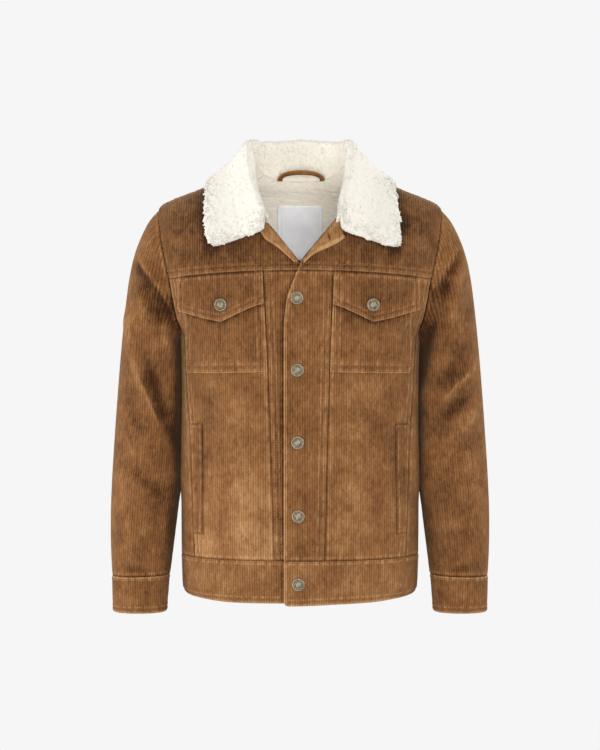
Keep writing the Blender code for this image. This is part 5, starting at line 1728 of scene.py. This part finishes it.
def mathNode(tree, operation, a, b=0.0, c=0.0):
    return socketNode(tree, "ShaderNodeMath", {0: a, 1: b, 2: c}, operation=operation).outputs[0]


def newPaint(name):
    made = bpy.data.materials.new(name)
    made.use_nodes = True
    return made, made.node_tree, made.node_tree.nodes["Principled BSDF"]


def markOf(tree, name):
    return socketNode(tree, "ShaderNodeAttribute", attribute_name=name).outputs["Fac"]


def placeOf(tree):
    return socketNode(tree, "ShaderNodeTexCoord").outputs["Object"]


def speckle(tree, place, scale, detail):
    values = {"Vector": place, "Scale": scale, "Detail": detail}
    return socketNode(tree, "ShaderNodeTexNoise", values).outputs[0]


def colourOf(tree, tone, low, *stops):
    # the colour at each tone, from (tone, colour) steps
    ramp = socketNode(tree, "ShaderNodeValToRGB", {0: tone})
    made = ramp.color_ramp.elements
    made[0].position, made[0].color = low
    made[1].position, made[1].color = stops[-1]
    for position, colour in stops[:-1]:
        made.new(position).color = colour
    return ramp.outputs[0]


def bumpOf(tree, strength, distance, height):
    values = {"Strength": strength, "Distance": distance, "Height": height}
    return socketNode(tree, "ShaderNodeBump", values).outputs[0]


def newGroup(name, inputs, outputs):
    group = bpy.data.node_groups.new(name, "ShaderNodeTree")
    for label, kind, value in inputs:
        made = group.interface.new_socket(label, in_out="INPUT", socket_type=kind)
        if value is not None:
            made.default_value = value
    for label, kind in outputs:
        group.interface.new_socket(label, in_out="OUTPUT", socket_type=kind)
    return group, group.nodes.new("NodeGroupInput"), group.nodes.new("NodeGroupOutput")


def makeRibGroup():
    # the ribs' tone and fine pile, from the cloth's own grain: 0.5 is the plain tone; the valleys between the
    # ribs are darker, painted shade
    group, given, put = newGroup("ribbedPile", [
        ("Grain", "NodeSocketVector", None),
        ("Place", "NodeSocketVector", None),
        ("Valley", "NodeSocketFloat", 0.16),
        ("Streak", "NodeSocketFloat", 0.2),
        ("Patch", "NodeSocketFloat", 0.54),
    ], [("Tone", "NodeSocketFloat"), ("Pile", "NodeSocketFloat")])
    parts = socketNode(group, "ShaderNodeSeparateXYZ", {0: given.outputs["Grain"]})
    across, along = parts.outputs[0], parts.outputs[1]
    turn = mathNode(group, "MULTIPLY", across, 2 * pi / (cloth["wale"] * mm))
    wave = mathNode(group, "COSINE", turn)                       # 1 in a valley, -1 on a rib
    valley = mathNode(group, "POWER", mathNode(group, "MULTIPLY_ADD", wave, 0.5, 0.5), 2.2)

    def grainNoise(acrossScale, alongScale, detail, roughness):
        place = socketNode(group, "ShaderNodeCombineXYZ", {
            0: mathNode(group, "MULTIPLY", across, acrossScale),
            1: mathNode(group, "MULTIPLY", along, alongScale)})
        made = socketNode(group, "ShaderNodeTexNoise", {
            "Vector": place.outputs[0], "Scale": 1.0, "Detail": detail, "Roughness": roughness})
        return mathNode(group, "SUBTRACT", made.outputs[0], 0.5)

    pile = grainNoise(900.0, 300.0, 4.0, 0.65)
    streak = grainNoise(110.0, 24.0, 3.0, 0.6)
    broken = grainNoise(230.0, 95.0, 3.0, 0.6)
    patch = socketNode(group, "ShaderNodeTexNoise", {
        "Vector": given.outputs["Place"], "Scale": 32.0, "Detail": 5.0, "Roughness": 0.6})
    patch = mathNode(group, "SUBTRACT", patch.outputs[0], 0.5)
    tone = mathNode(group, "MULTIPLY_ADD", streak, given.outputs["Streak"], 0.5)
    tone = mathNode(group, "MULTIPLY_ADD", patch, given.outputs["Patch"], tone)
    tone = mathNode(group, "MULTIPLY_ADD", broken, 0.5, tone)
    tone = mathNode(group, "MULTIPLY_ADD", pile, 0.4, tone)
    # painted shade in the valleys between the ribs
    dark = mathNode(group, "MULTIPLY", valley, given.outputs["Valley"])
    tone = mathNode(group, "SUBTRACT", tone, dark)
    group.links.new(tone, put.inputs["Tone"])
    group.links.new(pile, put.inputs["Pile"])
    return group


ribGroup = makeRibGroup()
corduroy = {
    "deep": (0.032, 0.011, 0.003, 1.0),
    "dark": (0.070, 0.025, 0.007, 1.0),
    "plain": (0.250, 0.108, 0.037, 1.0),
    "light": (0.56, 0.318, 0.142, 1.0),
    "roughness": 0.95,
    "sheen": 0.28,
    "sheenTint": (0.86, 0.64, 0.38, 1.0),
    "pileHeight": 0.0006,
}


def corduroyMaterial(name, shift=0.0, valley=None):
    # shift: how much lighter or darker than the plain cloth, as painted light or shade; valley: how dark the
    # painted shade between the ribs is
    made, tree, shader = newPaint(name)
    grain = socketNode(tree, "ShaderNodeUVMap", uv_map="grain").outputs[0]
    given = {"Grain": grain, "Place": placeOf(tree), **({} if valley is None else {"Valley": valley})}
    ribs = socketNode(tree, "ShaderNodeGroup", node_tree=ribGroup)
    fillSockets(tree, ribs, given)
    worn, paintedShade = markOf(tree, "worn"), markOf(tree, "paintedShade")
    tone = mathNode(tree, "ADD", ribs.outputs["Tone"], shift)
    # lighter where rubbed and as painted highlight, darker as painted shade
    tone = mathNode(tree, "MULTIPLY_ADD", worn, 0.36, tone)
    tone = mathNode(tree, "MULTIPLY_ADD", paintedShade, -0.27, tone)
    steps = [(0.0, corduroy["deep"]), (0.16, corduroy["dark"]),
             (0.5, corduroy["plain"]), (0.95, corduroy["light"])]
    fillSockets(tree, shader, {
        "Base Color": colourOf(tree, tone, *steps),
        "Roughness": corduroy["roughness"],
        "Specular IOR Level": 0.15,
        "Sheen Weight": corduroy["sheen"],
        "Sheen Roughness": 0.5,
        "Sheen Tint": corduroy["sheenTint"],
        "Normal": bumpOf(tree, 0.6, corduroy["pileHeight"], ribs.outputs["Pile"]),
    })
    return made


pileSizes = {
    "valley": (0.775, 0.73, 0.63, 1.0), "plain": (0.795, 0.757, 0.67, 1.0), "tip": (0.83, 0.80, 0.725, 1.0),
    "sheen": 0.2, "fibreHeight": 0.0004,
}


def sherpaMaterial(name, dim=0.0):
    # dim darkens and yellows the pile inside the neck, as painted shade; the pile is lighter on its tufts and
    # darker between them, painted light and shade
    made, tree, shader = newPaint(name)
    place, tufts = placeOf(tree), markOf(tree, "worn")
    fine, broad = speckle(tree, place, 900.0, 4.0), speckle(tree, place, 28.0, 3.0)
    tone = mathNode(tree, "MULTIPLY_ADD", tufts, 0.55, 0.2 - dim)
    for marks in (fine, broad):
        tone = mathNode(tree, "ADD", tone, mathNode(tree, "MULTIPLY_ADD", marks, 0.5, -0.25))
    steps = (0.0, pileSizes["valley"]), (0.35, pileSizes["plain"]), (0.8, pileSizes["tip"])
    fillSockets(tree, shader, {
        "Base Color": colourOf(tree, tone, *steps),
        "Roughness": 1.0,
        "Specular IOR Level": 0.1,
        "Sheen Weight": pileSizes["sheen"],
        "Sheen Roughness": 0.6,
        "Normal": bumpOf(tree, 0.5, pileSizes["fibreHeight"], fine),
    })
    return made


def labelMaterial():
    made, tree, shader = newPaint("labelSatin")
    grain = socketNode(tree, "ShaderNodeUVMap", uv_map="grain").outputs[0]
    weave = {"Vector": grain, "Scale": 900.0, "Distortion": 0.6}
    threads = socketNode(tree, "ShaderNodeTexWave", weave, bands_direction="Y").outputs[0]
    streaks = speckle(tree, grain, 60.0, 3.0)
    # painted shade along the folds
    tone = mathNode(tree, "MULTIPLY_ADD", markOf(tree, "paintedShade"), -0.25, streaks)
    steps = (0.2, (0.80, 0.84, 0.94, 1.0)), (0.7, (0.92, 0.95, 0.99, 1.0))
    fillSockets(tree, shader, {
        "Base Color": colourOf(tree, tone, *steps),
        "Roughness": 0.42,
        "Sheen Weight": 0.3,
        "Normal": bumpOf(tree, 0.25, 0.0003, threads),
    })
    return made


def threadMaterial():
    made, tree, shader = newPaint("brownThread")
    steps = (0.3, (0.25, 0.122, 0.053, 1.0)), (0.7, (0.42, 0.22, 0.10, 1.0))
    tone = speckle(tree, placeOf(tree), 500.0, 2.0)
    fillSockets(tree, shader, {"Base Color": colourOf(tree, tone, *steps), "Roughness": 0.7})
    return made


def nickelMaterial():
    made, tree, shader = newPaint("agedNickel")
    marks = speckle(tree, placeOf(tree), 420.0, 5.0)
    hollow = socketNode(tree, "ShaderNodeNewGeometry").outputs["Pointiness"]
    worn = mathNode(tree, "MULTIPLY_ADD", mathNode(tree, "SUBTRACT", hollow, 0.5), 6.0, marks)
    steps = (0.3, (0.13, 0.10, 0.062, 1.0)), (0.68, (0.37, 0.315, 0.23, 1.0))
    fillSockets(tree, shader, {
        "Base Color": colourOf(tree, worn, *steps),
        "Roughness": mathNode(tree, "MULTIPLY_ADD", marks, 0.3, 0.4),
        "Metallic": 1.0,
    })
    return made


# copies of the one corduroy, each lighter or darker for how its pieces are lit: painted shade on the yokes
# most, and on the flaps, pockets, arms and centre fronts; painted light on the lower fronts, waistband and
# facings
paints = {
    "plain": corduroyMaterial("brownCorduroy"),
    "yoke": corduroyMaterial("brownCorduroyAbove", -0.15),
    "low": corduroyMaterial("brownCorduroyBelow", 0.035),
    "centre": corduroyMaterial("brownCorduroyCentre", -0.03),
    "pocket": corduroyMaterial("brownCorduroyPocket", -0.05),
    "flap": corduroyMaterial("brownCorduroyFlap", -0.1),
    "arm": corduroyMaterial("brownCorduroyArm", -0.06, 0.15),
    "facing": corduroyMaterial("brownFacing", 0.05, 0.09),
    "loop": corduroyMaterial("brownLoop", 0.0),
    "collar": sherpaMaterial("creamSherpa"),
    "lining": sherpaMaterial("creamLining", 0.07),
    "label": labelMaterial(),
}
painted = {
    # a word in a piece's name: its paint
    "sleeve": "arm", "cuff": "arm", "flap": "flap", "yoke": "yoke", "lapel": "facing", "loop": "loop",
    "collar": "collar", "lining": "lining", "label": "label", "front_centre": "centre", "front_side": "low",
    "waistband": "low", "pocket": "pocket",
}
for name, piece in cloths.items():
    paint = next((paint for word, paint in painted.items() if word in name), "plain")
    piece.data.materials.append(paints[paint])
collarCurls.data.materials.append(paints["collar"])
stitches.data.materials.append(threadMaterial())
nickel = nickelMaterial()
for piece in buttons.values():
    piece.data.materials.append(nickel)
print("materials made")


# Camera, light and floor
view = {"distance": 3.0, "height": -0.157, "pitch": 2.3, "lens": 107.9}
camera = bpy.data.objects.new("camera", bpy.data.cameras.new("camera"))
camera.data.lens = view["lens"]
camera.data.sensor_width = 36.0
camera.location = (0.0, -view["distance"], view["height"])
camera.rotation_euler = (radians(90.0 - view["pitch"]), 0.0, 0.0)
bpy.context.scene.collection.objects.link(camera)
bpy.context.scene.camera = camera
bpy.context.scene.view_settings.view_transform = "Standard"

paper = (0.921, 0.921, 0.921, 1.0)
studio = {
    # name: place, turned towards, size, watts
    "frontLight": ((0.5, -3.0, 0.35), (0.0, 0.0, -0.3), 1.6, 38.0),
    "lowLight": ((-0.7, -1.5, -1.05), (-0.14, -0.1, -0.55), 0.5, 10.0),
    "leftLight": ((-2.2, -0.1, 0.1), (0.0, 0.0, -0.35), 1.3, 32.0),
    "rightLight": ((2.2, -0.1, 0.1), (0.0, 0.0, -0.35), 1.3, 24.0),
    "neckLight": ((0.0, -0.05, -0.055), (0.0, 0.07, -0.06), 0.09, 0.068),
    "topLight": ((0.0, -0.4, 1.9), (0.0, 0.0, -0.2), 1.2, 5.0),
    "backLight": ((0.3, 2.6, 0.9), (0.0, 0.0, -0.3), 1.8, 26.0),
}
for name, (place, target, size, watts) in studio.items():
    lamp = bpy.data.objects.new(name, bpy.data.lights.new(name, "AREA"))
    lamp.data.energy, lamp.data.size = watts, size
    lamp.location = place
    lamp.visible_camera = False
    if name == "neckLight":
        lamp.data.color = (1.0, 0.93, 0.82)
    lamp.rotation_euler = (Vector(target) - Vector(place)).to_track_quat("-Z", "Y").to_euler()
    bpy.context.scene.collection.objects.link(lamp)
world = bpy.data.worlds.new("studio")
bpy.context.scene.world = world
world.use_nodes = True
background = world.node_tree.nodes["Background"]
background.inputs["Color"].default_value = paper
seen = socketNode(world.node_tree, "ShaderNodeLightPath").outputs["Is Camera Ray"]
world.node_tree.links.new(mathNode(world.node_tree, "MULTIPLY_ADD", seen, 0.45, 0.55),
                          background.inputs["Strength"])

ground = {"radius": 6.0, "below": -1.3}              # metres
bpy.ops.mesh.primitive_circle_add(vertices=96, radius=ground["radius"], fill_type="NGON",
                                  location=(0.0, 0.0, ground["below"]))
floor = bpy.context.object
floor.name = "floor"
bpy.ops.object.transform_apply(location=True)
floorPaint, floorTree, floorShader = newPaint("paleFloor")
seen = socketNode(floorTree, "ShaderNodeLightPath").outputs["Is Camera Ray"]
fillSockets(floorTree, floorShader, {
    "Base Color": (0.0, 0.0, 0.0, 1.0),
    "Specular IOR Level": 0.0,
    "Emission Color": paper,
    "Emission Strength": mathNode(floorTree, "MULTIPLY_ADD", seen, 0.6, 0.4),
})
floor.data.materials.append(floorPaint)

for name, piece in {**cloths, **buttons}.items():
    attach(piece, "root")
    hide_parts(name)
for piece, finish in ((stitches, "corduroy"), (collarCurls, "sherpa")):
    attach(piece, "root")
